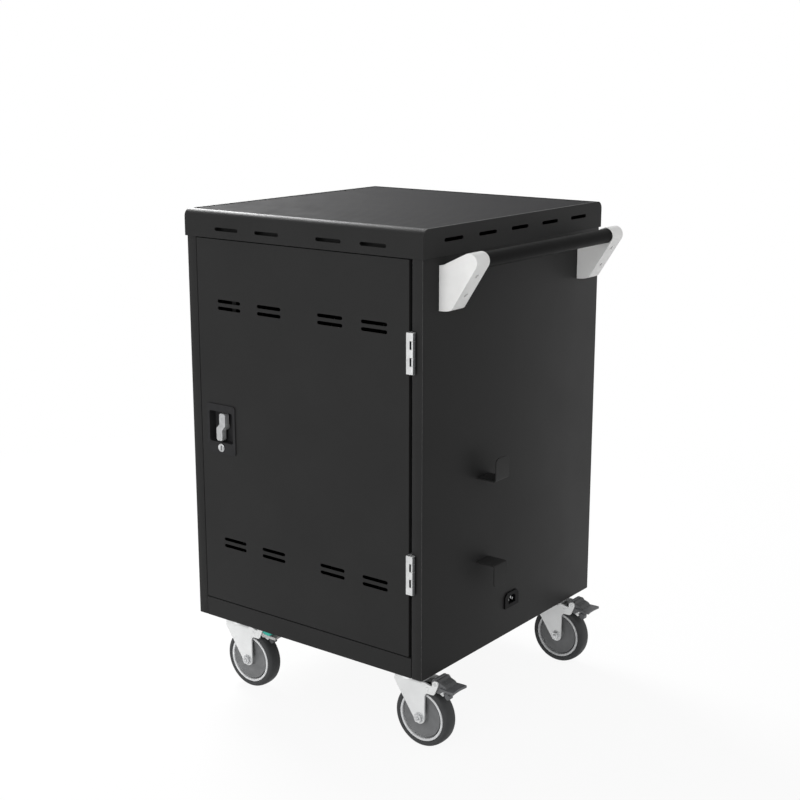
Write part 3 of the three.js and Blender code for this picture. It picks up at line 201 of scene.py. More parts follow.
def finish(name, colours, patch_mm, gloss, grit_mm, grit_depth_mm, specular=0.5, metallic=0.0):
    """A material whose colour and roughness drift in soft patches over a grit.

    The real grit of moulded, plated and coated surfaces is a fraction of a millimetre. It is drawn coarser,
    so that it shows.
    """
    made = bpy.data.materials.new(name)
    made.use_nodes = True
    tree = made.node_tree
    shader = tree.nodes["Principled BSDF"]
    shader.inputs["Specular IOR Level"].default_value = specular
    shader.inputs["Metallic"].default_value = metallic
    place = node(tree, "ShaderNodeTexCoord")
    patch = node(
        tree, "ShaderNodeTexNoise", {"Scale": 1000 / patch_mm, "Detail": PATCH_DETAIL},
        {"Vector": place.outputs["Object"]},
    )
    ramp = node(tree, "ShaderNodeValToRGB", links={0: patch.outputs[0]})
    for stop, at, colour in zip(ramp.color_ramp.elements, PATCH_RANGE, colours):
        stop.position = at
        stop.color = linear(colour)
    rough = node(
        tree, "ShaderNodeMapRange",
        {"From Min": PATCH_RANGE[0], "From Max": PATCH_RANGE[1], "To Min": gloss[0], "To Max": gloss[1]},
        {"Value": patch.outputs[0]},
    )
    grit = node(
        tree, "ShaderNodeTexNoise", {"Scale": 1000 / grit_mm, "Detail": GRIT_DETAIL},
        {"Vector": place.outputs["Object"]},
    )
    bump = node(
        tree, "ShaderNodeBump", {"Strength": 1.0, "Distance": grit_depth_mm * MM},
        {"Height": grit.outputs[0]},
    )
    tree.links.new(shader.inputs["Base Color"], ramp.outputs[0])
    tree.links.new(shader.inputs["Roughness"], rough.outputs[0])
    tree.links.new(shader.inputs["Normal"], bump.outputs[0])
    return made


def turned(bm, profile, centre, axis, sides, closed=False):
    """Adds a solid of revolution. The profile is radius and height along the axis, in millimetres."""
    order = AXIS_ORDER[axis]
    rings = []
    for radius, height in profile:
        ring = []
        for step in range(sides if radius else 1):
            angle = 2 * math.pi * step / sides
            local = (radius * math.cos(angle), radius * math.sin(angle), height)
            ring.append(bm.verts.new(centre + MM * Vector([local[i] for i in order])))
        rings.append(ring)
    pairs = list(zip(rings, rings[1:]))
    if closed:
        pairs.append((rings[-1], rings[0]))
    for one, two in pairs:
        for step in range(sides):
            corners = [one[place % len(one)] for place in (step, step + 1)]
            corners += [two[place % len(two)] for place in (step + 1, step)]
            bm.faces.new(list(dict.fromkeys(corners)))
    return [point for ring in rings for point in ring]


def mirrored(half):
    """A profile and its mirror image, as one closed profile."""
    return half + [(radius, -height) for radius, height in reversed(half)]


def soften(made, edge_mm):
    """Shades curves smooth and rolls the sharp edges over."""
    made.data.shade_smooth()
    if edge_mm:
        bevel = made.modifiers.new("rolled_edges", "BEVEL")
        bevel.width = edge_mm * MM
        bevel.segments = EDGE_SEGMENTS
        bevel.limit_method = "ANGLE"
        bevel.angle_limit = math.radians(EDGE_ANGLE)
        bevel.harden_normals = True
    else:
        made.data.set_sharp_from_angle(angle=math.radians(EDGE_ANGLE))


def piece(name, bm, material, body, stands_for=(), edge_mm=0.0):
    """Makes an object of a mesh, with its finish, on its body and in place of the nodes it stands for."""
    bmesh.ops.recalc_face_normals(bm, faces=bm.faces)
    mesh = bpy.data.meshes.new(name)
    bm.to_mesh(mesh)
    bm.free()
    mesh.materials.append(material)
    made = bpy.data.objects.new(name, mesh)
    scene.collection.objects.link(made)
    soften(made, edge_mm)
    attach(made, body)
    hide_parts(*stands_for)
    return made


def joint_at(name):
    """The place of a joint."""
    return Vector(next(joint["pos_m"] for joint in frame["joints"] if joint["name"] == name))


# Moulded thermoplastic rubber: soft dark grey with a dull, faintly dusty surface.
tyre_rubber = finish(
    "thermoplastic_rubber_moulded", ("#303132", "#3b3c3d"), patch_mm=18.0, gloss=(0.62, 0.78),
    grit_mm=1.6, grit_depth_mm=0.05, specular=0.35,
)
# Moulded polypropylene: mid grey, satin, with slight flow marks.
hub_plastic = finish(
    "polypropylene_moulded_grey", ("#646566", "#707172"), patch_mm=14.0, gloss=(0.42, 0.55),
    grit_mm=2.2, grit_depth_mm=0.04, specular=0.4,
)
# The ring's polypropylene: almost white, smoother than the hub, so that it stands out as a clean line.
ring_plastic = finish(
    "polypropylene_moulded_pale", ("#c9cacb", "#dadbdc"), patch_mm=14.0, gloss=(0.4, 0.5),
    grit_mm=2.2, grit_depth_mm=0.03, specular=0.4,
)
for corner in CORNERS:
    axle = joint_at(f"wheel_{corner}")
    wheel = f"wheel_{corner}"
    bm = bmesh.new()
    turned(bm, mirrored(TYRE_HALF), axle, "y", WHEEL_SIDES, closed=True)
    piece(f"tyre_tread_{corner}", bm, tyre_rubber, wheel, [f"tyre_{corner}"])
    bm = bmesh.new()
    turned(bm, mirrored(HUB_HALF), axle, "y", WHEEL_SIDES, closed=True)
    piece(f"hub_disc_{corner}", bm, hub_plastic, wheel, [f"hub_{corner}"])
    bm = bmesh.new()
    turned(bm, mirrored(RING_HALF), axle, "y", WHEEL_SIDES, closed=True)
    piece(f"hub_ring_{corner}", bm, ring_plastic, wheel)

# Caster forks: one steel pressing each, a crown bent into two tapering legs with ears for the brake, plated
# with bright zinc. A hex bolt with a washer and nut goes through the legs and carries the wheel, and the
# race on top takes the balls of the swivel.
FORK_SIDE = 22.0
FORK_SHEET = 4.0
CROWN_TOP = 138.0
CROWN_BEND = 7.0
CROWN_END = 39.5
# The crown's sheet lies this little inside the legs, so that the two don't share a face.
SEAM = 0.1
LEAD_X = -25.0
LEAD_Z = 127.0
BOSS_R = 12.5
EAR_R = 7.0
EAR_DROP = 23.0
EAR_FILLET = 8.0
EAR_NOTCH = 3.0
RACE = [(0, -1), (24.0, -1), (24.0, 2.5), (22.5, 4), (0, 4)]
RACE_SIDES = 48
WASHER = [(0, 0), (10.8, 0), (10.8, 1.3), (0, 1.3)]
WASHER_SIDES = 40
NUT_R = 9.0
NUT_HEIGHT = 6.4
BOLT_END = [(0, 0), (4.0, 0), (4.0, 8.4), (3.2, 9.2), (0, 9.2)]
BOLT_SIDES = 24
RIVET_BACK = 18.7
RIVET_DROP = 13.4
RIVET = [(0, 0.3), (1.5, 0.3), (2.2, 1.0), (3.2, 0.8), (3.7, -0.4), (0, -0.4)]
RIVET_SIDES = 20


def arc(centre, radius, start, end, steps):
    """Points along an arc, with its angles in degrees."""
    angles = [math.radians(start + (end - start) * step / steps) for step in range(steps + 1)]
    return [(centre[0] + radius * math.cos(a), centre[1] + radius * math.sin(a)) for a in angles]


def hexagon(centre, radius):
    """The outline of a hex head or nut."""
    return arc(centre, radius, 0, 300, 5)


def prism(bm, outline, axis, start, end, origin=Vector()):
    """Adds an outline swept along an axis: in y and z along x, in x and z along y, in x and y along z."""
    order = AXIS_ORDER[axis]
    ends = []
    for height in (start, end):
        points = [(u, v, height) for u, v in outline]
        ends.append([bm.verts.new(origin + MM * Vector([p[i] for i in order])) for p in points])
    bm.faces.new(ends[0])
    bm.faces.new(list(reversed(ends[1])))
    for step in range(len(outline)):
        after = (step + 1) % len(outline)
        bm.faces.new([ends[0][step], ends[1][step], ends[1][after], ends[0][after]])


def standing(profile, foot, way=1):
    """A turned profile that stands on a foot, upwards or downwards along its axis."""
    return [(radius, foot + way * height) for radius, height in profile]


# Bright zinc plate: pale silver with faint cloudy patches and a soft shine.
zinc = finish(
    "steel_pressed_bright_zinc", ("#d9dada", "#e4e5e5"), patch_mm=42.0, gloss=(0.3, 0.38),
    grit_mm=3.0, grit_depth_mm=0.01, metallic=0.4,
)
# Barrel-plated bolts: duller than the pressings, with small worn patches.
bolt_steel = finish(
    "steel_bolt_dull_zinc", ("#aeafb0", "#e0e1e2"), patch_mm=5.0, gloss=(0.24, 0.36),
    grit_mm=1.0, grit_depth_mm=0.02, metallic=0.7,
)
for corner in CORNERS:
    swivel = joint_at(f"swivel_{corner}")
    axle = joint_at(f"wheel_{corner}")
    pedal = joint_at(f"pedal_{corner}")
    origin = Vector((swivel.x, swivel.y, 0))
    hub = ((axle.x - swivel.x) / MM, axle.z / MM)
    pin = ((pedal.x - swivel.x) / MM, pedal.z / MM)
    run = Vector((hub[0] - LEAD_X, hub[1] - LEAD_Z))
    slope = math.degrees(math.atan2(run.y, run.x) - math.asin(BOSS_R / run.length))
    back = hub[0] + BOSS_R
    heel = pin[1] - EAR_DROP
    bend = CROWN_TOP - CROWN_BEND
    notch = CROWN_TOP - EAR_NOTCH
    leg = [(LEAD_X, bend), (LEAD_X, LEAD_Z)]
    leg += arc(hub, BOSS_R, slope + 270, 360, 16)
    leg += arc((back + EAR_FILLET, heel - EAR_FILLET), EAR_FILLET, 180, 90, 6)
    leg += arc((pin[0] - EAR_R, heel + EAR_R), EAR_R, -90, -20, 5)
    leg += arc(pin, EAR_R, -15, 180, 12)
    leg += [(pin[0] - EAR_R, notch), (pin[0] - EAR_R - EAR_NOTCH, notch)]
    leg += [(back, CROWN_TOP), (CROWN_END, CROWN_TOP), (CROWN_END, bend)]
    side = FORK_SIDE - CROWN_BEND
    outside = CROWN_BEND - SEAM
    inside = CROWN_BEND - FORK_SHEET + SEAM
    crown = [(-side - outside, LEAD_Z)] + arc((-side, bend), outside, 180, 90, 6)
    crown += arc((side, bend), outside, 90, 0, 6) + [(side + outside, LEAD_Z), (side + inside, LEAD_Z)]
    crown += arc((side, bend), inside, 0, 90, 3)
    crown += arc((-side, bend), inside, 90, 180, 3) + [(-side - inside, LEAD_Z)]
    bm = bmesh.new()
    bolt = bmesh.new()
    prism(bm, crown, "x", LEAD_X, CROWN_END, origin)
    for way in (-1, 1):
        face = way * FORK_SIDE
        prism(bm, leg, "y", *sorted((face - way * FORK_SHEET, face)), origin)
        turned(bolt, standing(WASHER, face, way), axle, "y", WASHER_SIDES)
        prism(bolt, hexagon(hub, NUT_R), "y", *sorted((face, face + way * NUT_HEIGHT)), origin)
        turned(bolt, standing(BOLT_END, face, way), axle, "y", BOLT_SIDES)
        rivet = origin + MM * Vector((pin[0] - RIVET_BACK, face, pin[1] - RIVET_DROP))
        turned(bm, standing(RIVET, 0, way), rivet, "y", RIVET_SIDES)
    turned(bm, standing(RACE, CROWN_TOP), origin, "z", RACE_SIDES)
    fork = f"fork_{corner}"
    piece(f"fork_pressing_{corner}", bm, zinc, fork, [f"fork_{corner}"], edge_mm=0.6)
    piece(f"axle_bolt_{corner}", bolt, bolt_steel, fork, edge_mm=0.4)

# Brake pedals: a glass-filled nylon lever and wing with a ribbed tread, on a steel cross pin in the fork's
# ears, and a shoe that a pressed steel arm holds over the tyre. The front left one is a total-lock pedal,
# with a pale lever and a broad teal tread.
LOCKING_CORNER = "front_left"
PEDAL_HALF = 17.5
LEVER = arc((-3.0, 1.0), 8.5, 200, 80, 7) + [
    (3, 6.0), (9, 3.0), (20, -1.0), (24, -5.0), (30, -6.5), (24, -8.5), (15, -10.0), (11, -14.0),
    (8, -18.0), (2, -19.0),
]
WING = [(8, 19.5), (14, 21.5), (26, 22.5), (36, 23.0), (43, 22.5), (41.5, 12.0), (41, 4.0)]
WING_Z = (-10.0, -4.8)
LOCK_WING_Z = (-14.5, -8.5)
TREAD = [
    (-6, 3.0), (-2, 7.5), (4.5, 9.0), (7, 7.0), (9.5, 4.4), (20.5, 0.6), (25, -4.6), (22, -6.0), (0, -6.0),
]
TREAD_HALF = 17.0
TREAD_RIBS = ((11.0, 3.9), (14.5, 2.7), (18.0, 1.5))
TREAD_RIB = [(-1.0, -1.0), (1.0, -1.4), (0.6, 1.0), (-0.6, 1.2)]
TREAD_RIB_HALF = 16.0
LOCK_PAD = [(8.5, -5.0), (9, 8.0), (20, 8.0), (30, 2.0), (34, -3.5), (26, -8.5), (14, -8.0)]
LOCK_PAD_HALF = 23.0
SHOE = [(11.5, -20), (12, -28.5), (17, -33), (22, -31), (22.5, -24), (17.5, -19)]
SHOE_HALF = 7.0
SHOE_ARM = [(-3, -15), (-3, -20.5), (4, -24), (9, -26.5), (12, -24), (9, -16)]
SHOE_ARM_HALF = 9.0
CROSS_PIN = [(0, -23.0), (3.0, -23.0), (3.0, 23.0), (0, 23.0)]
CROSS_PIN_SIDES = 20

# Moulded glass-filled nylon: mid grey and dull, with the faint mottle of its fibres.
pedal_nylon = finish(
    "nylon_glass_filled_moulded", ("#57585a", "#656668"), patch_mm=10.0, gloss=(0.45, 0.6),
    grit_mm=1.8, grit_depth_mm=0.05, specular=0.4,
)
# The tread's nylon: the same dull surface in a darker grey, as if scuffed by shoes.
tread_nylon = finish(
    "nylon_moulded_dark_grey", ("#3b3c3e", "#474849"), patch_mm=10.0, gloss=(0.45, 0.6),
    grit_mm=1.8, grit_depth_mm=0.05, specular=0.4,
)
# Pale nylon: a warm light grey with a satin surface.
pale_nylon = finish(
    "nylon_moulded_pale_grey", ("#a5a5a4", "#b6b6b5"), patch_mm=10.0, gloss=(0.42, 0.55),
    grit_mm=1.8, grit_depth_mm=0.05, specular=0.4,
)
# Teal nylon: dyed through, a clear colour with a little more shine than the greys.
teal_nylon = finish(
    "nylon_moulded_teal", ("#14998a", "#1db3a0"), patch_mm=10.0, gloss=(0.38, 0.5),
    grit_mm=1.8, grit_depth_mm=0.05, specular=0.45,
)
for corner in CORNERS:
    pivot = joint_at(f"pedal_{corner}")
    pedal = f"pedal_{corner}"
    locking = corner == LOCKING_CORNER
    lever_finish = pale_nylon if locking else pedal_nylon
    tread_finish = teal_nylon if locking else tread_nylon
    shoe_finish = tread_nylon if locking else pedal_nylon
    bm = bmesh.new()
    prism(bm, LEVER, "y", -PEDAL_HALF, PEDAL_HALF, pivot)
    prism(bm, mirrored(WING), "z", *(LOCK_WING_Z if locking else WING_Z), pivot)
    replaced = [f"brake_pedal_{corner}"]
    piece(f"pedal_lever_{corner}", bm, lever_finish, pedal, replaced, edge_mm=0.8)
    bm = bmesh.new()
    prism(bm, TREAD, "y", -TREAD_HALF, TREAD_HALF, pivot)
    if locking:
        prism(bm, LOCK_PAD, "y", -LOCK_PAD_HALF, LOCK_PAD_HALF, pivot)
    for x, z in TREAD_RIBS:
        rib = [(x + along, z + up) for along, up in TREAD_RIB]
        prism(bm, rib, "y", -TREAD_RIB_HALF, TREAD_RIB_HALF, pivot)
    piece(f"pedal_tread_{corner}", bm, tread_finish, pedal, edge_mm=0.4)
    bm = bmesh.new()
    prism(bm, SHOE, "y", -SHOE_HALF, SHOE_HALF, pivot)
    piece(f"brake_shoe_{corner}", bm, shoe_finish, pedal, edge_mm=1.0)
    bm = bmesh.new()
    prism(bm, SHOE_ARM, "y", -SHOE_ARM_HALF, SHOE_ARM_HALF, pivot)
    turned(bm, CROSS_PIN, pivot, "y", CROSS_PIN_SIDES)
    piece(f"brake_shoe_arm_{corner}", bm, bolt_steel, pedal, edge_mm=0.6)

# Caster heads: zinc-plated top plates with a ball-race cup, a pressed dust cap round it and a kingpin nut,
# bolted up to the base pan by a hex bolt in each corner.
PLATE_INSET = 9.0
PLATE_BOLT_R = 7.0
PLATE_BOLT_DROP = (8.0, 3.4)
DUST_CAP = [
    (25.0, 153.0), (28.5, 151.5), (31.0, 147.5), (32.6, 142.0), (33.2, 139.0), (32.2, 138.6), (31.0, 141.5),
    (29.4, 147.0), (27.4, 150.4), (25.0, 151.6),
]
DUST_CAP_SIDES = 64
WELD_MM = 0.02
FLAT_ANGLE = 0.5


def box_mm(name):
    """A node's lowest and highest corners, in millimetres."""
    return [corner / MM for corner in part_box(name)]


def dress(names, material, edge_mm):
    """Gives nodes their finish, joins the flat facets of each face and rolls its edges over."""
    for name in names:
        made = frame["nodes"][name]
        made.data.materials.clear()
        made.data.materials.append(material)
        if "custom_normal" in made.data.attributes:
            made.data.attributes.remove(made.data.attributes["custom_normal"])
        made.modifiers.new("joined", "WELD").merge_threshold = WELD_MM * MM
        flat = made.modifiers.new("flat_faces", "DECIMATE")
        flat.decimate_type = "DISSOLVE"
        flat.angle_limit = math.radians(FLAT_ANGLE)
        soften(made, edge_mm)


for corner in CORNERS:
    low, high = box_mm(f"caster_plate_{corner}")
    foot, head = (high.z - drop for drop in PLATE_BOLT_DROP)
    bm = bmesh.new()
    for x in (low.x + PLATE_INSET, high.x - PLATE_INSET):
        for y in (low.y + PLATE_INSET, high.y - PLATE_INSET):
            prism(bm, hexagon((x, y), PLATE_BOLT_R), "z", foot, head)
    piece(f"caster_bolts_{corner}", bm, zinc, "chassis", edge_mm=0.6)
    swivel = joint_at(f"swivel_{corner}")
    bm = bmesh.new()
    turned(bm, DUST_CAP, Vector((swivel.x, swivel.y, 0)), "z", DUST_CAP_SIDES, closed=True)
    piece(f"dust_cap_{corner}", bm, zinc, "chassis")
dress([f"caster_plate_{corner}" for corner in CORNERS], zinc, edge_mm=0.5)

# Cabinet shell: cold-rolled steel sheet, folded, welded and sprayed with black powder, which cures to a
# fine sand-like texture. The base pan, the two side panels and the header rails make the box.
COAT = {
    "colours": ("#252525", "#282828"), "patch_mm": 160.0, "gloss": (0.46, 0.54),
    "grit_mm": 2.4, "grit_depth_mm": 0.04, "specular": 0.09,
}
FOLD_MM = 0.9
FOLD_HIGHLIGHT = "#7c7c7c"
FOLD_SAMPLES = 6
FOLD_STARTS = 0.995
FOLD_FULL = 0.92

# Black powder coat: a dull, even black with a fine grit, drawn at about three times its real size so that
# it shows. The side panels' coat has a pale line painted along its folded edges: a painted highlight, where
# light would catch the fold.
powder_coat = finish("steel_sheet_black_powder_coat", **COAT)
coat_painted_fold_highlight = finish("steel_sheet_powder_coat_painted_fold_highlight", **COAT)
tree = coat_painted_fold_highlight.node_tree
shader = tree.nodes["Principled BSDF"]
# Painted highlight: a paler colour is mixed in where the surface curves round an edge.
rolled = node(tree, "ShaderNodeBevel", {"Radius": FOLD_MM * MM}, samples=FOLD_SAMPLES)
facing = node(tree, "ShaderNodeNewGeometry")
flatness = node(
    tree, "ShaderNodeVectorMath",
    links={0: rolled.outputs[0], 1: facing.outputs["Normal"]}, operation="DOT_PRODUCT",
)
fold = node(
    tree, "ShaderNodeMapRange", {"From Min": FOLD_STARTS, "From Max": FOLD_FULL},
    {"Value": flatness.outputs["Value"]},
)
even_coat = shader.inputs["Base Color"].links[0].from_socket
coat = node(
    tree, "ShaderNodeMix", links={0: fold.outputs[0], 6: even_coat}, data_type="RGBA",
)
coat.inputs[7].default_value = linear(FOLD_HIGHLIGHT)
tree.links.new(shader.inputs["Base Color"], coat.outputs[2])
dress(["base_pan", "header_front", "header_rear"], powder_coat, edge_mm=0.4)
dress(["side_panel_left", "side_panel_right"], coat_painted_fold_highlight, edge_mm=0.4)

# Inside: two decks, a partition with cable slots and two adapter shelves behind it, all of folded sheet
# that is coated like the shell and screwed to it. A folded box covers the back of the mains inlet.
dress(["lower_deck", "middle_shelf", "partition"], powder_coat, edge_mm=0.4)
dress(["adapter_shelf_lower", "adapter_shelf_upper", "inlet_cover"], powder_coat, edge_mm=0.4)

# Divider racks and outlet strips: moulded in black ABS. The racks stand on the decks and part the bays, and
# the strips are the long housings of the outlets, fixed behind the partition.

# Moulded ABS: black and satin, with the fine texture of a sparked mould.
black_abs = finish(
    "abs_moulded_black", ("#1a1a1b", "#202021"), patch_mm=24.0, gloss=(0.4, 0.52),
    grit_mm=1.6, grit_depth_mm=0.04, specular=0.2,
)
dress(["divider_rack_lower", "divider_rack_upper"], black_abs, edge_mm=0.5)
dress(["outlet_strip_lower", "outlet_strip_upper"], black_abs, edge_mm=0.5)

# Outlet faces: dark grey moulded ABS inserts, snapped into the strips, with two blade slots and a round
# earth hole in each, drawn in painted shade. The brass contacts lie deep inside.
OUTLETS = 8
OUTLET_PITCH = 55.0
OUTLET_DEPTH = 4.0
OUTLET_HALF = (13.6, 10.2)
OUTLET_CORNER_R = 2.0
INSERT_Y = (-0.2, 1.6)
HOLE_Y = (1.0, 1.65)
BLADES_X = (-5.8, 5.8)
BLADE_HALF = 1.0
BLADE_Z = (-1.5, 5.5)
BLADE_CORNER_R = 0.4
EARTH_Z = -5.0
EARTH_R = 2.3


def rounded(u0, u1, v0, v1, radius, steps=5):
    """A rectangle with round corners."""
    corners = [(u1, v0, -90), (u1, v1, 0), (u0, v1, 90), (u0, v0, 180)]
    points = []
    for u, v, start in corners:
        centre = (u - radius if u == u1 else u + radius, v + radius if v == v0 else v - radius)
        points += arc(centre, radius, start, start + 90, steps)
    return points


# Moulded ABS, dark grey: a shade paler than the strips, so that each outlet shows.
outlet_grey = finish(
    "abs_moulded_dark_grey", ("#3c3c3e", "#464648"), patch_mm=12.0, gloss=(0.4, 0.5),
    grit_mm=1.6, grit_depth_mm=0.03, specular=0.2,
)
# Painted shade: the slots and earth holes are near-black shapes that stand for the shade deep inside them.
slot_painted_shade = finish(
    "outlet_holes_painted_shade", ("#050505", "#0a0a0a"), patch_mm=6.0, gloss=(0.6, 0.7),
    grit_mm=1.2, grit_depth_mm=0.01, specular=0.05,
)
for level in ("lower", "upper"):
    low, high = box_mm(f"outlet_strip_{level}")
    back = high.y - OUTLET_DEPTH
    insert_ends = [back + y for y in INSERT_Y]
    hole_ends = [back + y for y in HOLE_Y]
    wide, tall = OUTLET_HALF
    z = (low.z + high.z) / 2
    inserts = bmesh.new()
    slots = bmesh.new()
    for index in range(OUTLETS):
        x = (low.x + high.x) / 2 + (index - (OUTLETS - 1) / 2) * OUTLET_PITCH
        prism(inserts, rounded(x - wide, x + wide, z - tall, z + tall, OUTLET_CORNER_R), "y", *insert_ends)
        for across in BLADES_X:
            left, right = x + across - BLADE_HALF, x + across + BLADE_HALF
            blade = rounded(left, right, z + BLADE_Z[0], z + BLADE_Z[1], BLADE_CORNER_R, 2)
            prism(slots, blade, "y", *hole_ends)
        prism(slots, arc((x, z + EARTH_Z), EARTH_R, 0, 345, 23), "y", *hole_ends)
    piece(f"outlet_faces_{level}", inserts, outlet_grey, "chassis", edge_mm=0.4)
    piece(f"outlet_slots_{level}", slots, slot_painted_shade, "chassis")

# Doors: pans folded from the same coated sheet, with vent slots punched in double rows near the top and the
# bottom. Loops welded behind the front one guide the lock's rods.
dress(["front_door", "rear_door"], powder_coat, edge_mm=0.5)

# Hinges: stamped zinc-plated leaves rolled round a pin. Beside the frame leaf's two knuckles the door leaf
# has windows, in which a nylon bush round the pin shows, coloured near black as painted shade so that the
# windows read as dark holes. A dark grey strip over the outer side of the knuckles is painted shade too.
KNUCKLES = 5
KNUCKLE_GAP = 0.3
BUSH = [(-4.5, 2.8), (-4.5, -2.6), (-2.9, -4.3), (-0.45, -4.3), (-0.45, 2.8)]
STRIP_R = (4.45, 4.7)
STRIP_REACH = 58
STRIP_STEPS = 14

# Painted shade: the bush is coloured near black and dull, so that the windows of the leaf read as holes.
bush_painted_shade = finish(
    "hinge_bush_painted_shade", ("#060607", "#0a0a0b"), patch_mm=8.0, gloss=(0.5, 0.6),
    grit_mm=1.4, grit_depth_mm=0.02, specular=0.03,
)
# Stamped leaves with satin zinc: a little greyer than the forks.
leaf_zinc = finish(
    "steel_stamped_satin_zinc", ("#c3c4c4", "#d2d3d3"), patch_mm=12.0, gloss=(0.34, 0.44),
    grit_mm=2.0, grit_depth_mm=0.01, metallic=0.45,
)
# Painted shade: dull dark grey for the outer side of the knuckles, where shade falls.
knuckle_side_painted_shade = finish(
    "knuckle_side_painted_shade_grey", ("#434445", "#515253"), patch_mm=9.0, gloss=(0.45, 0.55),
    grit_mm=1.2, grit_depth_mm=0.02, metallic=0.3,
)
strip = arc((0, 0), STRIP_R[0], -STRIP_REACH, STRIP_REACH, STRIP_STEPS)
strip += arc((0, 0), STRIP_R[1], STRIP_REACH, -STRIP_REACH, STRIP_STEPS)
for end, way in (("front", 1), ("rear", -1)):
    pin = joint_at(f"{end}_door_hinge")
    origin = Vector((pin.x, pin.y, 0))
    strip_outline = [(way * x, way * y) for x, y in strip]
    bush_outline = [(way * x, way * y) for x, y in BUSH]
    for level in ("lower", "upper"):
        low, high = box_mm(f"{end}_hinge_door_leaf_{level}")
        step = (high.z - low.z) / KNUCKLES
        bush = bmesh.new()
        frame_strip = bmesh.new()
        door_strip = bmesh.new()
        for index in range(KNUCKLES):
            bottom = low.z + index * step + KNUCKLE_GAP
            top = low.z + (index + 1) * step - KNUCKLE_GAP
            on_frame = index % 2 == 1
            prism(frame_strip if on_frame else door_strip, strip_outline, "z", bottom, top, origin)
            if on_frame:
                prism(bush, bush_outline, "z", bottom, top, origin)
        piece(f"{end}_hinge_bush_{level}", bush, bush_painted_shade, "chassis", edge_mm=0.2)
        piece(f"{end}_hinge_strip_frame_{level}", frame_strip, knuckle_side_painted_shade, "chassis")
        piece(f"{end}_hinge_strip_door_{level}", door_strip, knuckle_side_painted_shade, f"{end}_door")
        leaves = [f"{end}_hinge_frame_leaf_{level}", f"{end}_hinge_door_leaf_{level}"]
        dress(leaves, leaf_zinc, edge_mm=0.3)

# Twist-handle lock: a moulded nylon cup plate let into the door, a die-cast zinc S-shaped handle in it and
# a chromed key plug below. Behind the door are a zinc-plated crank and two flat rods of coated steel.

# Moulded nylon: black and satin, hardly darker than the door round it.
cup_nylon = finish(
    "nylon_moulded_black", ("#29292a", "#2d2d2e"), patch_mm=20.0, gloss=(0.42, 0.5),
    grit_mm=1.8, grit_depth_mm=0.03, specular=0.06,
)
# Tumbled zinc casting: mid grey with a soft, slightly uneven shine.
die_cast = finish(
    "zinc_die_cast_satin", ("#a2a3a4", "#b6b7b8"), patch_mm=7.0, gloss=(0.34, 0.46),
    grit_mm=1.2, grit_depth_mm=0.03, metallic=0.35,
)
# Chrome plate on turned brass: bright and sharp, with darker patches where it is handled.
chrome = finish(
    "brass_turned_chrome_plate", ("#8c8d8e", "#e4e5e6"), patch_mm=6.0, gloss=(0.1, 0.18),
    grit_mm=1.6, grit_depth_mm=0.01, metallic=1.0,
)
dress(["latch_plate"], cup_nylon, edge_mm=0.8)
dress(["latch_handle"], die_cast, edge_mm=1.0)
dress(["lock_plug", "rear_lock"], chrome, edge_mm=0.5)
dress(["latch_crank"], zinc, edge_mm=0.4)
dress(["lock_rod_upper", "lock_rod_lower"], powder_coat, edge_mm=0.4)

# Top: a cap of steel sheet with rolled front and rear edges, tight folded side skirts and punched vent
# slots, coated like the shell and screwed to the header rails. Its recess holds the mat.
dress(["top_tray"], powder_coat, edge_mm=0.7)

# Mat: an extruded rubber sheet with ribs from side to side, laid loose in the tray. The real ribs are a few
# millimetres apart, and are drawn wider, so that they show.
RIB_PITCH = 16.0
RIB_DEPTH = 1.2
RIB_RISE = 0.25
RIB_FALL = 0.7
RIB_FOOT = 0.95

# Extruded rubber: near black, with a dull bloom and no shine.
mat_rubber = finish(
    "rubber_extruded_ribbed", ("#202021", "#272728"), patch_mm=45.0, gloss=(0.75, 0.85),
    grit_mm=1.8, grit_depth_mm=0.04, specular=0.04,
)
low, high = box_mm("top_mat")
ribs = int((high.y - low.y) // RIB_PITCH)
pitch = (high.y - low.y) / ribs
groove = high.z - RIB_DEPTH
section = [(low.y, low.z)]
for index in range(ribs):
    y = low.y + index * pitch
    section += [(y, groove), (y + RIB_RISE * pitch, high.z)]
    section += [(y + RIB_FALL * pitch, high.z), (y + RIB_FOOT * pitch, groove)]
section += [(high.y, groove), (high.y, low.z)]
bm = bmesh.new()
prism(bm, section, "x", low.x, high.x)
piece("ribbed_mat", bm, mat_rubber, "chassis", ["top_mat"])

# Push handle: a black-coated steel tube held in two pale grey end brackets, which are moulded in ABS and
# screwed to the right panel.

# Moulded ABS, pale grey: clean and satin, nearly white.
bracket_abs = finish(
    "abs_moulded_pale_grey", ("#e0e0df", "#e7e7e6"), patch_mm=30.0, gloss=(0.45, 0.55),
    grit_mm=1.8, grit_depth_mm=0.04, specular=0.3,
)
# Powder coat on tube: a deeper, smoother black than the sheet's.
tube_coat = finish(
    "steel_tube_black_powder_coat", ("#0e0e0e", "#111111"), patch_mm=60.0, gloss=(0.44, 0.52),
    grit_mm=2.4, grit_depth_mm=0.02, specular=0.035,
)
dress(["handle_bracket_front", "handle_bracket_rear"], bracket_abs, edge_mm=1.2)
dress(["handle_tube"], tube_coat, edge_mm=0.5)

# Bracket screws: two zinc-plated socket screws in each bracket, sunk in its slanting face and driven into
# nuts behind the panel.
NOSE_R = 16.5
TOE_X = 28.0
TOE_Z = 5.0
SCREW_SHARES = (0.22, 0.68)
SCREW = [(0, -9.0), (4.2, -9.0), (4.2, -4.6), (3.7, -4.0), (2.4, -4.0), (2.2, -6.4), (0, -6.4)]
SCREW_SIDES = 24

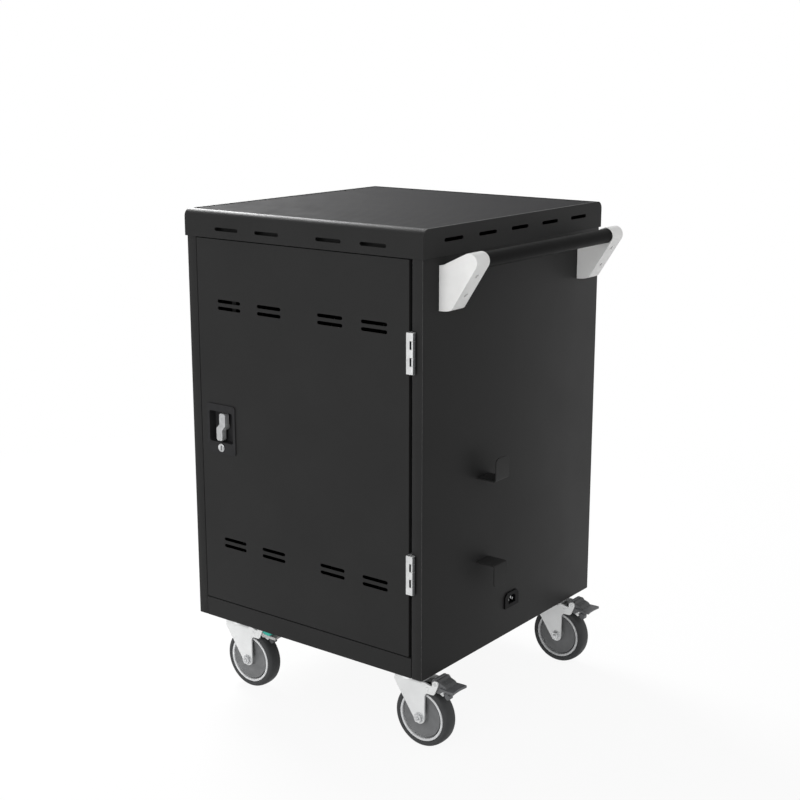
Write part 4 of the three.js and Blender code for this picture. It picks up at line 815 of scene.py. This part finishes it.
for end in ("front", "rear"):
    low, high = box_mm(f"handle_bracket_{end}")
    nose = Vector((high.x - NOSE_R, high.z - NOSE_R))
    toe = Vector((low.x + TOE_X, low.z + TOE_Z))
    run = nose - toe
    aim = math.atan2(run.y, run.x) - math.asin(NOSE_R / run.length) - math.pi / 2
    out = Vector((math.cos(aim), math.sin(aim)))
    turn = Vector((out.x, 0, out.y)).to_track_quat("Z", "Y").to_matrix().to_4x4()
    bm = bmesh.new()
    for share in SCREW_SHARES:
        at = (nose + NOSE_R * out).lerp(toe, share)
        place = Matrix.Translation(MM * Vector((at.x, (low.y + high.y) / 2, at.y)))
        screw = turned(bm, SCREW, Vector(), "z", SCREW_SIDES)
        bmesh.ops.transform(bm, matrix=place @ turn, verts=screw)
    piece(f"bracket_screws_{end}", bm, bolt_steel, "chassis", edge_mm=0.2)

# Cord hooks: folded strips of steel, welded to the right panel and coated with it. The upper one has its
# lip up and the lower one has it down, so that a cord winds round the two.
dress(["cord_hook_upper", "cord_hook_lower"], powder_coat, edge_mm=0.5)

# Mains inlet: a black connector moulded in nylon, snapped into the right panel from outside, with three
# nickel-plated pins in its socket.
PINS = ((-7.0, -1.5), (7.0, -1.5), (0.0, 2.5))
PIN_HALF = (1.2, 2.7)
PIN_CORNER_R = 0.6
PIN_DEPTH = (14.0, 0.8)
INLET_FLANGE = 3.0

# Moulded nylon, deep black: smooth enough for a faint shine along its edges.
inlet_nylon = finish(
    "nylon_connector_black", ("#0b0b0c", "#101011"), patch_mm=12.0, gloss=(0.35, 0.45),
    grit_mm=1.6, grit_depth_mm=0.02, specular=0.05,
)
dress(["mains_inlet"], inlet_nylon, edge_mm=0.4)
low, high = box_mm("mains_inlet")
pin_ends = [high.x - INLET_FLANGE - depth for depth in PIN_DEPTH]
wide, tall = PIN_HALF
bm = bmesh.new()
for across, up in PINS:
    y = (low.y + high.y) / 2 + across
    z = (low.z + high.z) / 2 + up
    prism(bm, rounded(y - wide, y + wide, z - tall, z + tall, PIN_CORNER_R, 3), "x", *pin_ends)
piece("inlet_pins", bm, bolt_steel, "chassis", edge_mm=0.2)
